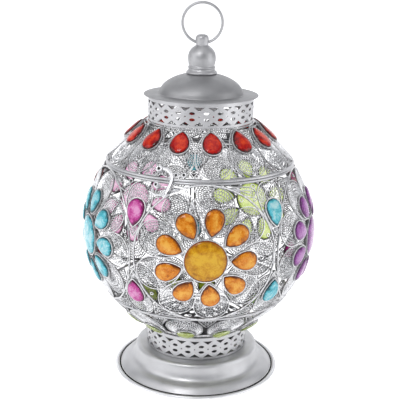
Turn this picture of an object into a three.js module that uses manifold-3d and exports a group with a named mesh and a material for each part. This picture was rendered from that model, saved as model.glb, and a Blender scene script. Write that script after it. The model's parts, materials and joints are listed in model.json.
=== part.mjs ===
// Candle lantern: a globe of silver filigree panels set with coloured glass stones, standing on a
// spun foot, with a hinged lid, a hook latch and a hanging ring through its finial.
// Millimetres, +Z up. The origin is the middle of the foot's underside. The latch is at the front
// (-Y) and the hinge at the back (+Y). An azimuth is measured from the front, towards +X.
import * as THREE from "three";
import { mergeVertices } from "three/addons/utils/BufferGeometryUtils.js";
import Module from "manifold-3d";

const wasm = await Module();
wasm.setup();

// ---------------------------------------------------------------- driving dimensions
const GAP = 0.3;                    // left between pieces that touch
const SHEET = 1.0;                  // thickness of every sheet metal piece
const WIRE = 1.2;                   // radius of the hoops' wire

const FOOT_RADIUS = 84;             // outside of the rolled rim
const RIM_WIRE = 1.8;               // radius of the rolled rim
const FOOT_HEIGHT = 26.3;           // floor to the flat top of the foot
const SHOULDER_RADIUS = 62.5;       // where the foot's flat top rounds over
const SHOULDER_ROUND = 3.5;         // radius of that rounding
const FLARE_RUN = 7;                // the first pull of the foot's curve: inwards, and up
const FLARE_RISE = 2.6;
const FLARE_BEND = 0.42;            // height of its second pull, as a share of the foot's height

const GALLERY_RADIUS = 51;          // outside of both pierced galleries
const GALLERY_UNITS = 24;           // windows around each gallery
const LOWER_GALLERY_HEIGHT = 23;
const UPPER_GALLERY_HEIGHT = 23.4;
const WINDOW_WIDTH = 8;
const WINDOW_HEIGHT = 13;

const GLOBE_RADIUS = 112;           // outside of the filigree sheets
const GLOBE_DROP = 102.9;           // lower gallery's top up to the globe's centre
const CAP_RISE = 106.5;             // globe's centre up to the cap's inner edge
const SEAM_RISE = 66.3;             // globe's centre up to the seam between body and lid
const LOWER_HOOP_DROP = 65;         // globe's centre down to the lower hoop
const CAP_SWELL = 14;               // how far the cap carries on the globe's curve
const SKIRT_SWELL = 22;             // how far the skirt does

const MEDALLIONS = 5;
const FIRST_MEDALLION = 27.7;       // azimuth of the medallion nearest the front, degrees
const RIM_RING = 1.0;               // radius of the wire round each medallion
const SPANDREL_START = 8;           // equator to the near edge of the panels between medallions
const SPANDREL_SHARE = 0.86;        // of the pitch between medallions that such a panel may span
const PETALS = 9;
const FIRST_PETAL = 11.8;           // bearing of the first petal, clockwise from up, degrees

const STONE_LENGTH = 25;            // teardrop stones
const STONE_WIDTH = 18;
const STONE_THICKNESS = 4.2;
const STONE_SIDES = 8;
const BAND_WIDTH = 3;               // of the band that joins a ring of stones
const CENTRE_STONE_RADIUS = 19;
const CENTRE_STONE_THICKNESS = 4.6;
const STONE_SPACING = 3.4;          // centre stone's edge to the petals' tips
const CAP_STONES = 14;
const FIRST_CAP_STONE = 7.8;        // azimuth, degrees
const SKIRT_STONES = 12;
const FIRST_SKIRT_STONE = 15.4;     // azimuth, degrees
const GAP_STONE_OFFSET = 38;        // equator to the stones between medallions, along the surface

const BRIM_RADIUS = 55.4;
const DOME_RADIUS = 40.6;
const DOME_HEIGHT = 19;
const FINIAL_RADIUS = 14.8;         // the finial's foot
const BALL_RADIUS = 13.4;
const STUB_RADIUS = 6.3;
const FINIAL_HEIGHT = 37.5;
const NECK_RADIUS = 12.3;           // of the finial, between its foot and its ball
const NECK_RISE = 8;                // finial's foot up to the ball
const STUB_RISE = 26.7;             // finial's foot up to the stub
const STUD_LENGTH = 9;              // of the thread below the finial
const RING_HOLE_RISE = 29.1;        // finial's foot up to the hole for the ring
const STUD_RADIUS = 2.4;
const DOME_LEDGE = 0.4;             // flat of the dome that shows round the finial's foot

const RING_RADIUS = 18.95;          // middle of the hanging ring's wire
const RING_WIRE = 1.25;
const RING_AZIMUTH = 24;            // the way the hanging ring faces, degrees

const PLATE_RADIUS = 40;            // candle plate
const PLATE_RIM = 4;
const PLATE_RIM_LEAN = 1.5;         // how far the rim leans outwards
const PLATE_RECESS = 8;             // radius of the flat that is pressed down onto the foot
const BOLT_RADIUS = 2;
const BOLT_HEAD = 2.2;
const BOLT_TAIL = 3;                // of the bolt below its nut
const NUT_HEIGHT = 3.2;
const NUT_ACROSS = 8;
const FINIAL_NUT_ACROSS = 9;
const WASHER_RADIUS = 7;

const FITTING_TILT = 36;            // latitude of the latch's and hinge's planes, degrees
const HOOK_THICKNESS = 1.6;
const HOOK_WIDTH = 3.2;
const HOOK_BELLY = 14.6;            // how far the hook bulges to the right of its rivet
const HOOK_TIP_RIGHT = 12;          // rivet to the hook's tip, right and down
const HOOK_TIP_DROP = 23.7;
const HOOK_TIP_RADIUS = 2.5;
const RIVET_RISE = 9.2;             // seam up to the rivet, along the surface
const CATCH_RIGHT = 1.5;            // rivet to the catch, right
const CATCH_DROP = 6;               // seam down to the catch, along the surface
const LATCH_PIN = 1.2;
const LATCH_HEAD = 3.2;
const KNUCKLE_RADIUS = 2.6;
const HINGE_PIN = 1.0;
const HINGE_WIDTH = 18;
const HINGE_LEAF = 12;
const KNUCKLE_SPLIT = 3;            // half the length of the lid's middle knuckle
const PIN_HEAD = 0.7;               // how far the pin's heads stand out round it
const LEAF_DEPTH = 0.7;             // of the body's leaf below the pin's middle

const LARGE_ROUND = 36;             // flats around the spun pieces
const PANEL_ROUND = 24;             // around a medallion
const FINIAL_ROUND = 20;
const SMALL_ROUND = 16;             // around fittings

// ---------------------------------------------------------------- places worked out from them
const RIM_RADIUS = FOOT_RADIUS - RIM_WIRE;
const GALLERY_TOP = FOOT_HEIGHT + GAP + LOWER_GALLERY_HEIGHT;
const GLOBE_Z = GALLERY_TOP + GLOBE_DROP;
const SEAM_Z = GLOBE_Z + SEAM_RISE;
const CAP_TOP = GLOBE_Z + CAP_RISE;
const BRIM_Z = CAP_TOP + 2 * GAP + UPPER_GALLERY_HEIGHT;
const DOME_TOP = BRIM_Z + SHEET + DOME_HEIGHT;
const FINIAL_Z = DOME_TOP + GAP;
const RING_HOLE_Z = FINIAL_Z + RING_HOLE_RISE;

const circleAt = (rise) => Math.sqrt(GLOBE_RADIUS ** 2 - rise ** 2);
const SEAM_OFFSET = WIRE + GAP / 2;
const HOOP_RADIUS = circleAt(SEAM_RISE - SEAM_OFFSET);
const LOWER_HOOP_RADIUS = circleAt(LOWER_HOOP_DROP);
const rad = THREE.MathUtils.degToRad;
const tilt = rad(FITTING_TILT);

// A medallion stops short of the nearer hoop and of its neighbours.
const hoopLatitude = Math.asin(Math.min(SEAM_RISE - SEAM_OFFSET, LOWER_HOOP_DROP) / GLOBE_RADIUS);
const hoopLimit = hoopLatitude - (WIRE + RIM_RING + GAP) / GLOBE_RADIUS;
const neighbourLimit = Math.PI / MEDALLIONS - (RIM_RING + GAP) / GLOBE_RADIUS;
const MEDALLION_ANGLE = Math.min(hoopLimit, neighbourLimit);
const PETAL_ANGLE = (CENTRE_STONE_RADIUS + STONE_SPACING + STONE_LENGTH / 2) / GLOBE_RADIUS;

// ---------------------------------------------------------------- shape helpers
const v2 = (x, y) => new THREE.Vector2(x, y);

function solid(geometry) {
  const bare = geometry.clone();
  bare.deleteAttribute("normal");
  bare.deleteAttribute("uv");
  const merged = mergeVertices(bare, 1e-4);
  return new wasm.Manifold(new wasm.Mesh({
    numProp: 3,
    vertProperties: new Float32Array(merged.attributes.position.array),
    triVerts: new Uint32Array(merged.index.array),
  }));
}

function geometryOf(body) {
  const mesh = body.getMesh();
  const geometry = new THREE.BufferGeometry();
  geometry.setAttribute("position", new THREE.BufferAttribute(mesh.vertProperties, 3));
  geometry.setIndex(new THREE.BufferAttribute(mesh.triVerts, 1));
  geometry.computeVertexNormals();
  return geometry;
}

const join = (geometries) => geometryOf(geometries.map(solid).reduce((a, b) => a.add(b)));
const cut = (geometry, tools) => geometryOf(tools.map(solid).reduce((a, b) => a.subtract(b), solid(geometry)));

// Turns an outline of (radius, height) points about the Z axis. The outline runs anticlockwise.
const turn = (outline, segments) => new THREE.LatheGeometry(outline, segments).rotateX(Math.PI / 2);
const closed = (outline) => [...outline, outline[0].clone()];

const polarPoint = (angle, radius) => v2(radius * Math.sin(angle), radius * Math.cos(angle));

function cylinder(radius, from, to) {
  const shape = new THREE.CylinderGeometry(radius, radius, to - from, SMALL_ROUND);
  return shape.rotateX(Math.PI / 2).translate(0, 0, (from + to) / 2);
}

const box = (low, high) => new THREE.BoxGeometry(...high.map((h, i) => h - low[i]))
  .translate(...high.map((h, i) => (h + low[i]) / 2));

function hoop(radius, height, wire, segments = 32, sides = 6) {
  const outline = [];
  for (let i = 0; i < sides; i += 1) {
    const angle = 2 * Math.PI * (i + 0.5) / sides;
    outline.push(v2(radius + wire * Math.cos(angle), height + wire * Math.sin(angle)));
  }
  return turn(closed(outline), segments);
}

// A sheet that follows a (radius, height) curve, SHEET thick towards the inside.
function sheetAlong(curve, steps) {
  const outer = curve.getPoints(steps);
  const inner = outer.map((point, i) => {
    const along = curve.getTangent(i / steps);
    return v2(point.x - SHEET * along.y, point.y + SHEET * along.x);
  });
  return closed([...outer, ...inner.reverse()]);
}

// The frame of a spot on the lantern: X to the right, Y up along the surface, Z outwards.
function spot(azimuth, latitude, radius, height) {
  const h = new THREE.Vector3(Math.sin(azimuth), -Math.cos(azimuth), 0);
  const x = new THREE.Vector3(Math.cos(azimuth), Math.sin(azimuth), 0);
  const z = h.clone().multiplyScalar(Math.cos(latitude)).setZ(Math.sin(latitude));
  const y = new THREE.Vector3().crossVectors(z, x);
  return new THREE.Matrix4().makeBasis(x, y, z)
    .setPosition(h.x * radius, h.y * radius, height);
}

const group = new THREE.Group();

function add(name, geometry, material, matrix) {
  const mesh = new THREE.Mesh(geometry, material.clone());
  mesh.name = name;
  if (matrix) mesh.applyMatrix4(matrix);
  group.add(mesh);
  return mesh;
}

// ---------------------------------------------------------------- materials
const metal = (color, roughness) => new THREE.MeshStandardMaterial({ color, roughness, metalness: 0.85 });
const glass = (color) => new THREE.MeshStandardMaterial({ color, roughness: 0.15, metalness: 0.0 });
const silver = metal("#b4b6ba", 0.38);
const filigree = metal("#c2c4c8", 0.32);
const steel = metal("#8d9094", 0.45);
const GLASS = {
  orange: glass("#d98a1c"),
  purple: glass("#8c4a9c"),
  lime: glass("#8fae2a"),
  pink: glass("#d64a86"),
  turquoise: glass("#2ba3b4"),
  magenta: glass("#b5257f"),
  red: glass("#c41420"),
  green: glass("#8aa62a"),
};
const MEDALLION_COLOURS = ["orange", "purple", "lime", "pink", "turquoise"];
const GAP_COLOURS = ["turquoise", "magenta", "turquoise", "red", "magenta"];

// ---------------------------------------------------------------- foot
function footDish() {
  const edge = RIM_RADIUS - RIM_WIRE - GAP;
  const shoulderZ = FOOT_HEIGHT - SHOULDER_ROUND;
  const flare = new THREE.CubicBezierCurve(
    v2(edge, RIM_WIRE + SHEET), v2(edge - FLARE_RUN, RIM_WIRE + SHEET + FLARE_RISE),
    v2(SHOULDER_RADIUS + SHOULDER_ROUND, FOOT_HEIGHT * FLARE_BEND), v2(SHOULDER_RADIUS, shoulderZ));
  const top = new THREE.QuadraticBezierCurve(
    v2(SHOULDER_RADIUS, shoulderZ), v2(SHOULDER_RADIUS, FOOT_HEIGHT),
    v2(SHOULDER_RADIUS - SHOULDER_ROUND, FOOT_HEIGHT));
  const outer = [...flare.getPoints(4), ...top.getPoints(2).slice(1), v2(BOLT_RADIUS + GAP, FOOT_HEIGHT)];
  const inner = [
    v2(BOLT_RADIUS + GAP, FOOT_HEIGHT - SHEET),
    v2(SHOULDER_RADIUS - SHOULDER_ROUND, FOOT_HEIGHT - SHEET),
    v2(SHOULDER_RADIUS - SHEET, shoulderZ),
  ];
  flare.getPoints(3).reverse().slice(1).forEach((point) => inner.push(v2(point.x - SHEET, point.y - SHEET)));
  return turn(closed([...outer, ...inner]), LARGE_ROUND);
}

// A pierced band with a row of lozenge windows.
function gallery(from, height) {
  const outline = [
    v2(GALLERY_RADIUS, from), v2(GALLERY_RADIUS, from + height),
    v2(GALLERY_RADIUS - SHEET, from + height), v2(GALLERY_RADIUS - SHEET, from),
  ];
  const lozenge = new THREE.Shape([
    v2(WINDOW_WIDTH / 2, 0), v2(0, WINDOW_HEIGHT / 2), v2(-WINDOW_WIDTH / 2, 0), v2(0, -WINDOW_HEIGHT / 2),
  ]);
  const windows = [];
  for (let i = 0; i < GALLERY_UNITS; i += 1) {
    const azimuth = 2 * Math.PI * (i + 0.5) / GALLERY_UNITS;
    const punch = new THREE.ExtrudeGeometry(lozenge, { depth: 6 * SHEET, bevelEnabled: false });
    windows.push(punch.applyMatrix4(spot(azimuth, 0, GALLERY_RADIUS - 4 * SHEET, from + height / 2)));
  }
  return cut(turn(closed(outline), GALLERY_UNITS), windows);
}

// A shallow plate. Its middle is pressed down onto the foot, so that the bolt's head lies below the
// seat for the candle.
function candlePlate() {
  const floor = FOOT_HEIGHT + GAP;
  const depth = BOLT_HEAD + 2 * GAP;
  const seat = floor + depth;
  const boltHole = BOLT_RADIUS + GAP;
  const slope = PLATE_RECESS + depth;
  const seatEdge = PLATE_RADIUS - PLATE_RIM_LEAN;
  const miter = SHEET * Math.tan(Math.PI / 8);
  return turn(closed([
    v2(boltHole, floor), v2(PLATE_RECESS, floor), v2(slope, seat), v2(seatEdge, seat),
    v2(PLATE_RADIUS, seat + PLATE_RIM), v2(PLATE_RADIUS - SHEET, seat + PLATE_RIM),
    v2(seatEdge - SHEET, seat + SHEET), v2(slope - miter, seat + SHEET),
    v2(PLATE_RECESS - miter, floor + SHEET), v2(boltHole, floor + SHEET),
  ]), LARGE_ROUND);
}

function footBolt() {
  const seat = FOOT_HEIGHT + GAP + SHEET + GAP;
  const tail = FOOT_HEIGHT - 2 * (SHEET + GAP) - NUT_HEIGHT - BOLT_TAIL;
  const head = 2 * BOLT_RADIUS;
  return turn([
    v2(0, tail), v2(BOLT_RADIUS, tail), v2(BOLT_RADIUS, seat), v2(head, seat),
    v2(head, seat + BOLT_HEAD / 2), v2(BOLT_RADIUS, seat + BOLT_HEAD), v2(0, seat + BOLT_HEAD),
  ], SMALL_ROUND);
}

function ringOf(inner, outer, from, to, segments) {
  return turn(closed([v2(inner, from), v2(outer, from), v2(outer, to), v2(inner, to)]), segments);
}

// A hexagon nut round a thread, with its top at a height. Its hole is a hexagon as well.
function nut(thread, across, top) {
  const flat = Math.cos(Math.PI / 6);
  return ringOf((thread + GAP) / flat, across / 2 / flat, top - NUT_HEIGHT, top, 6);
}

// ---------------------------------------------------------------- stones
// A teardrop cabochon with its flat back at height 0, its round end at +Y and its tip at -Y. It is a
// low cylinder with sloping sides, drawn out to the tip on one side.
function teardrop() {
  const top = 0.62;
  const stone = new THREE.CylinderGeometry(top, 1, STONE_THICKNESS, STONE_SIDES).rotateX(Math.PI / 2);
  const round = STONE_WIDTH / 2;
  const place = stone.attributes.position;
  for (let i = 0; i < place.count; i += 1) {
    const x = place.getX(i);
    const y = place.getY(i);
    const drawn = y < 0 ? (STONE_LENGTH - round) / round : 1;
    place.setXY(i, x * round, y * round * drawn + STONE_LENGTH / 2 - round);
  }
  return stone.translate(0, 0, STONE_THICKNESS / 2);
}

function centreStone() {
  const dome = new THREE.EllipseCurve(0, 0, CENTRE_STONE_RADIUS, CENTRE_STONE_THICKNESS, 0, Math.PI / 2);
  return turn([v2(0, 0), ...dome.getPoints(3)], 24);
}

// A place on the globe seen from a medallion's middle: a distance off, in radians, on a bearing.
function onMedallion(angle, bearing, radius) {
  return new THREE.Matrix4().makeRotationZ(-bearing)
    .multiply(new THREE.Matrix4().makeRotationX(-angle))
    .multiply(new THREE.Matrix4().makeTranslation(0, 0, radius));
}

function petalStones() {
  const seat = GLOBE_RADIUS + GAP;
  const pieces = [petalBand(seat)];
  for (let i = 0; i < PETALS; i += 1) {
    const bearing = rad(FIRST_PETAL) + 2 * Math.PI * i / PETALS;
    pieces.push(teardrop().applyMatrix4(onMedallion(PETAL_ANGLE, bearing, seat)));
  }
  return join(pieces);
}

// The thin band through a ring of petals, which makes the set one piece. It has a flat for each
// petal, so it is lifted by as much as a flat cuts inside the globe.
function petalBand(seat) {
  const half = BAND_WIDTH / 2 / seat;
  const low = seat + GLOBE_RADIUS * (1 - Math.hypot(
    Math.cos(PETAL_ANGLE), Math.sin(PETAL_ANGLE) * Math.cos(Math.PI / PETALS)));
  const high = low + SHEET;
  const corners = [polarPoint(PETAL_ANGLE + half, low), polarPoint(PETAL_ANGLE + half, high),
    polarPoint(PETAL_ANGLE - half, high), polarPoint(PETAL_ANGLE - half, low)];
  return turn(closed(corners), PETALS).rotateZ(Math.PI / 2 + Math.PI / PETALS - rad(FIRST_PETAL));
}

// A ring of stones on a (radius, height) curve, joined by a band with a flat between each pair.
function stoneRow(curve, t, count, first, tipUp) {
  const point = curve.getPoint(t);
  const along = curve.getTangent(t);
  const normal = v2(along.y, -along.x);
  const latitude = Math.atan2(normal.y, normal.x);
  const rise = 2 * GAP + SHEET * 0.4;
  const at = point.clone().addScaledVector(normal, rise);
  const flatDepth = at.x * (1 - Math.cos(Math.PI / count));
  const corner = (across, out) => at.clone().addScaledVector(along, across * BAND_WIDTH / 2)
    .addScaledVector(normal, flatDepth * normal.x + out * SHEET);
  const band = turn(closed([corner(-1, 0), corner(-1, 1), corner(1, 1), corner(1, 0)]), count);
  const pieces = [band.rotateZ(first - Math.PI / 2)];
  for (let i = 0; i < count; i += 1) {
    const azimuth = first + 2 * Math.PI * i / count;
    const stone = tipUp ? teardrop().rotateZ(Math.PI) : teardrop();
    pieces.push(stone.applyMatrix4(spot(azimuth, latitude, at.x, at.y)));
  }
  return join(pieces);
}

// ---------------------------------------------------------------- globe panels
// A medallion's sheet, open behind the centre stone, with a wire round its edge.
function medallionFrame() {
  const open = (CENTRE_STONE_RADIUS - 3) / GLOBE_RADIUS;
  const ring = RIM_RING / GLOBE_RADIUS;
  const steps = 3;
  const outer = [];
  const inner = [];
  for (let i = 0; i <= steps; i += 1) {
    const angle = open + (MEDALLION_ANGLE - ring - open) * i / steps;
    outer.push(polarPoint(angle, GLOBE_RADIUS));
    inner.unshift(polarPoint(angle, GLOBE_RADIUS - SHEET));
  }
  const rim = [
    polarPoint(MEDALLION_ANGLE, GLOBE_RADIUS + RIM_RING),
    polarPoint(MEDALLION_ANGLE + ring, GLOBE_RADIUS - SHEET / 2),
    polarPoint(MEDALLION_ANGLE, GLOBE_RADIUS - SHEET - RIM_RING / 2),
  ];
  return turn(closed([...outer, ...rim, ...inner].reverse()), PANEL_ROUND);
}

// The panel between two medallions, above the equator or, with side -1, below it.
function spandrel(side) {
  const hoopRise = side > 0 ? SEAM_RISE - SEAM_OFFSET : LOWER_HOOP_DROP;
  const high = Math.asin(hoopRise / GLOBE_RADIUS) - (WIRE + GAP) / GLOBE_RADIUS;
  const low = SPANDREL_START / GLOBE_RADIUS;
  const steps = 4;
  const outer = [];
  const inner = [];
  for (let i = 0; i <= steps; i += 1) {
    const latitude = side * (low + (high - low) * i / steps);
    const direction = v2(Math.cos(latitude), Math.sin(latitude));
    outer.push(direction.clone().multiplyScalar(GLOBE_RADIUS));
    inner.unshift(direction.clone().multiplyScalar(GLOBE_RADIUS - SHEET));
  }
  const outline = closed([...outer, ...inner]);
  const zone = solid(turn(side > 0 ? outline : outline.reverse(), LARGE_ROUND));
  const reach = 2 * GLOBE_RADIUS;
  const halfWedge = SPANDREL_SHARE * Math.PI / MEDALLIONS;
  const wedge = new THREE.ExtrudeGeometry(new THREE.Shape([
    v2(0, 0), v2(-reach * Math.sin(halfWedge), -reach * Math.cos(halfWedge)),
    v2(reach * Math.sin(halfWedge), -reach * Math.cos(halfWedge)),
  ]), { depth: 2 * reach, bevelEnabled: false }).translate(0, 0, -reach);
  let panel = zone.intersect(solid(wedge));
  const angle = MEDALLION_ANGLE + (RIM_RING + GAP) / GLOBE_RADIUS;
  const flare = reach * Math.tan(angle) / Math.cos(Math.PI / PANEL_ROUND);
  [-1, 1].forEach((hand) => {
    const cone = new THREE.ConeGeometry(flare, reach, PANEL_ROUND).translate(0, -reach / 2, 0);
    const azimuth = hand * Math.PI / MEDALLIONS;
    cone.applyMatrix4(new THREE.Matrix4().makeRotationZ(azimuth));
    panel = panel.subtract(solid(cone));
  });
  return geometryOf(panel);
}

// ---------------------------------------------------------------- cap and skirt
const globeTangent = (rise, length) => {
  const radius = circleAt(rise);
  return v2(-length * rise / GLOBE_RADIUS, length * radius / GLOBE_RADIUS);
};

function capCurve() {
  const rise = SEAM_RISE + SEAM_OFFSET + WIRE + GAP;
  const start = v2(circleAt(rise), GLOBE_Z + rise);
  const swell = start.clone().add(globeTangent(rise, CAP_SWELL));
  return new THREE.QuadraticBezierCurve(start, swell, v2(GALLERY_RADIUS + GAP, CAP_TOP));
}

function skirtCurve() {
  const drop = LOWER_HOOP_DROP + WIRE + GAP;
  const start = v2(circleAt(drop), GLOBE_Z - drop);
  const tangent = globeTangent(drop, SKIRT_SWELL);
  const swell = v2(start.x + tangent.x, start.y - tangent.y);
  return new THREE.QuadraticBezierCurve(v2(GALLERY_RADIUS + GAP, GALLERY_TOP + SHEET + GAP), swell, start);
}

// ---------------------------------------------------------------- dome, finial and ring
function dome() {
  const round = new THREE.EllipseCurve(0, 0, 1, 1, 0, Math.PI / 2);
  const flat = FINIAL_RADIUS + DOME_LEDGE;
  const full = DOME_HEIGHT / Math.sqrt(1 - (flat / DOME_RADIUS) ** 2);
  const lastAngle = Math.acos(flat / DOME_RADIUS);
  const steps = 4;
  const arc = (shrink) => Array.from({ length: steps + 1 }, (_, i) => {
    const point = round.getPoint(i / steps * lastAngle / (Math.PI / 2));
    return v2(point.x * (DOME_RADIUS - shrink), BRIM_Z + SHEET - shrink + point.y * full);
  });
  const hole = STUD_RADIUS + GAP;
  return turn(closed([
    v2(BRIM_RADIUS, BRIM_Z), v2(BRIM_RADIUS, BRIM_Z + SHEET), ...arc(0), v2(hole, DOME_TOP),
    v2(hole, DOME_TOP - SHEET), ...arc(SHEET).reverse(),
  ]), LARGE_ROUND);
}

function finial() {
  const z = FINIAL_Z;
  const neck = z + NECK_RISE;
  const stub = z + STUB_RISE;
  const ballRise = STUB_RISE - NECK_RISE;
  const top = z + FINIAL_HEIGHT;
  const body = turn([
    v2(0, z - STUD_LENGTH), v2(STUD_RADIUS, z - STUD_LENGTH), v2(STUD_RADIUS, z),
    v2(FINIAL_RADIUS - 0.6, z), v2(FINIAL_RADIUS, z + 1.2), v2(FINIAL_RADIUS - 0.5, z + 2.8),
    v2(NECK_RADIUS + 0.3, neck - 2.8), v2(NECK_RADIUS + 0.7, neck - 1.4), v2(NECK_RADIUS, neck),
    v2(BALL_RADIUS, neck + 0.24 * ballRise), v2(BALL_RADIUS, neck + 0.48 * ballRise),
    v2(0.87 * BALL_RADIUS, neck + 0.72 * ballRise), v2(0.63 * BALL_RADIUS, neck + 0.91 * ballRise),
    v2(STUB_RADIUS + 0.2, stub - 0.5), v2(STUB_RADIUS - 0.5, stub), v2(STUB_RADIUS, top - 5.5),
    v2(0.9 * STUB_RADIUS, top - 2.4), v2(0.52 * STUB_RADIUS, top - 0.4), v2(0, top),
  ], FINIAL_ROUND);
  const sag = RING_RADIUS - Math.sqrt(RING_RADIUS ** 2 - STUB_RADIUS ** 2);
  const hole = new THREE.CylinderGeometry(1, 1, 6 * STUB_RADIUS, 12);
  hole.rotateZ(Math.PI / 2).scale(1, RING_WIRE + sag + 1.5 * GAP, RING_WIRE + sag + 1.5 * GAP);
  hole.rotateZ(rad(RING_AZIMUTH)).translate(0, 0, RING_HOLE_Z);
  return cut(body, [hole]);
}

function hangingRing() {
  return new THREE.TorusGeometry(RING_RADIUS, RING_WIRE, 6, 36).rotateX(Math.PI / 2)
    .rotateZ(rad(RING_AZIMUTH)).translate(0, 0, RING_HOLE_Z + RING_RADIUS);
}

// ---------------------------------------------------------------- latch, in its own tilted frame
// The frame's origin is the globe's centre, its Z the outward normal, so a Z is a distance out.
const latchFrame = spot(0, tilt, 0, GLOBE_Z);
const reachOf = (radius, rise) => radius * Math.cos(tilt) + rise * Math.sin(tilt);
const LID_HOOP_REACH = reachOf(HOOP_RADIUS, SEAM_RISE + SEAM_OFFSET) + WIRE;
const BODY_HOOP_REACH = reachOf(HOOP_RADIUS, SEAM_RISE - SEAM_OFFSET) + WIRE;
const CAP_REACH = Math.max(...capCurve().getPoints(20).map((p) => reachOf(p.x, p.y - GLOBE_Z)));
const HOOK_Z = Math.max(LID_HOOP_REACH, CAP_REACH + 2) + GAP;
const HOOK_TOP = HOOK_Z + HOOK_THICKNESS;
// Heights along the latch's frame, from the seam's own height there.
const SEAM_Y = SEAM_RISE * Math.cos(tilt) - HOOP_RADIUS * Math.sin(tilt);
const RIVET_Y = SEAM_Y + RIVET_RISE;

function latchRivet() {
  const pinTop = HOOK_TOP + GAP;
  return turn([
    v2(0, CAP_REACH + GAP), v2(LATCH_HEAD, CAP_REACH + GAP), v2(LATCH_HEAD, HOOK_Z - GAP),
    v2(LATCH_PIN, HOOK_Z - GAP), v2(LATCH_PIN, pinTop), v2(LATCH_HEAD, pinTop),
    v2(LATCH_HEAD - 0.6, pinTop + 1), v2(0, pinTop + 1),
  ], SMALL_ROUND).translate(0, RIVET_Y, 0);
}

function latchHook() {
  const route = new THREE.CatmullRomCurve3([
    [LATCH_PIN, LATCH_PIN], [0.55 * HOOK_BELLY, 0], [0.92 * HOOK_BELLY, -0.19 * HOOK_TIP_DROP],
    [HOOK_BELLY, -0.46 * HOOK_TIP_DROP], [0.93 * HOOK_BELLY, -0.74 * HOOK_TIP_DROP],
    [HOOK_TIP_RIGHT, -HOOK_TIP_DROP],
  ].map(([right, up]) => new THREE.Vector3(right, RIVET_Y + up, 0)));
  const section = new THREE.Shape([
    v2(-HOOK_THICKNESS / 2, -HOOK_WIDTH / 2), v2(HOOK_THICKNESS / 2, -HOOK_WIDTH / 2),
    v2(HOOK_THICKNESS / 2, HOOK_WIDTH / 2), v2(-HOOK_THICKNESS / 2, HOOK_WIDTH / 2),
  ]);
  const arm = new THREE.ExtrudeGeometry(section, { steps: 14, bevelEnabled: false, extrudePath: route });
  const eye = cylinder(LATCH_HEAD, -HOOK_THICKNESS / 2, HOOK_THICKNESS / 2).translate(0, RIVET_Y, 0);
  const tip = cylinder(HOOK_TIP_RADIUS, -HOOK_THICKNESS / 2, HOOK_THICKNESS / 2);
  tip.translate(HOOK_TIP_RIGHT, RIVET_Y - HOOK_TIP_DROP, 0);
  const hole = cylinder(LATCH_PIN + GAP, -HOOK_THICKNESS, HOOK_THICKNESS).translate(0, RIVET_Y, 0);
  return cut(join([arm, eye, tip]), [hole]).translate(0, 0, HOOK_Z + HOOK_THICKNESS / 2);
}

function latchCatch() {
  const foot = BODY_HOOP_REACH + GAP;
  return turn([
    v2(0, foot), v2(LATCH_HEAD - 0.5, foot), v2(LATCH_HEAD - 0.5, foot + 1), v2(LATCH_PIN, foot + 1.6),
    v2(LATCH_PIN, HOOK_TOP), v2(LATCH_HEAD - 0.8, HOOK_TOP + GAP), v2(0, HOOK_TOP + 1),
  ], SMALL_ROUND).translate(CATCH_RIGHT, SEAM_Y - CATCH_DROP, 0);
}

// ---------------------------------------------------------------- hinge, in the frame facing the back
const hingeFrame = spot(Math.PI, tilt, 0, GLOBE_Z);
const HINGE_RADIUS = HOOP_RADIUS + WIRE + KNUCKLE_RADIUS + GAP;
const PIN_Z = reachOf(HINGE_RADIUS, SEAM_RISE);
const PIN_Y = SEAM_RISE * Math.cos(tilt) - HINGE_RADIUS * Math.sin(tilt);
const sidewaysCylinder = (radius, from, to) => cylinder(radius, from, to)
  .rotateY(Math.PI / 2).translate(0, PIN_Y, PIN_Z);

function hingeLeafLid() {
  const low = Math.max(LID_HOOP_REACH + GAP, PIN_Z - KNUCKLE_RADIUS + GAP);
  const half = HINGE_WIDTH / 2;
  const clear = PIN_Y + KNUCKLE_RADIUS + 2 * GAP;
  const pieces = [
    sidewaysCylinder(KNUCKLE_RADIUS, -KNUCKLE_SPLIT, KNUCKLE_SPLIT),
    box([-KNUCKLE_SPLIT, PIN_Y, low], [KNUCKLE_SPLIT, clear + 1, low + SHEET]),
    box([-half, clear, low], [half, clear + HINGE_LEAF, low + SHEET]),
  ];
  return cut(join(pieces), [sidewaysCylinder(HINGE_PIN + GAP, -half, half)]);
}

function hingeLeafBody() {
  const high = PIN_Z - LEAF_DEPTH;
  const low = high - SHEET;
  const half = HINGE_WIDTH / 2;
  const clear = PIN_Y - KNUCKLE_RADIUS - 2 * GAP;
  const pieces = [box([-half, clear - HINGE_LEAF, low], [half, clear, high])];
  [-1, 1].forEach((hand) => {
    const near = hand * (KNUCKLE_SPLIT + GAP);
    const far = hand * half;
    const [from, to] = [Math.min(near, far), Math.max(near, far)];
    pieces.push(sidewaysCylinder(KNUCKLE_RADIUS, from, to));
    pieces.push(box([from, clear - 1, low], [to, PIN_Y, high]));
  });
  return cut(join(pieces), [sidewaysCylinder(HINGE_PIN + GAP, -half - 1, half + 1)]);
}

function hingePin() {
  const end = HINGE_WIDTH / 2 + GAP;
  const head = HINGE_PIN + PIN_HEAD;
  return join([
    sidewaysCylinder(HINGE_PIN, -end - SHEET / 2, end + SHEET / 2),
    sidewaysCylinder(head, -end - SHEET, -end),
    sidewaysCylinder(head, end, end + SHEET),
  ]);
}

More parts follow.
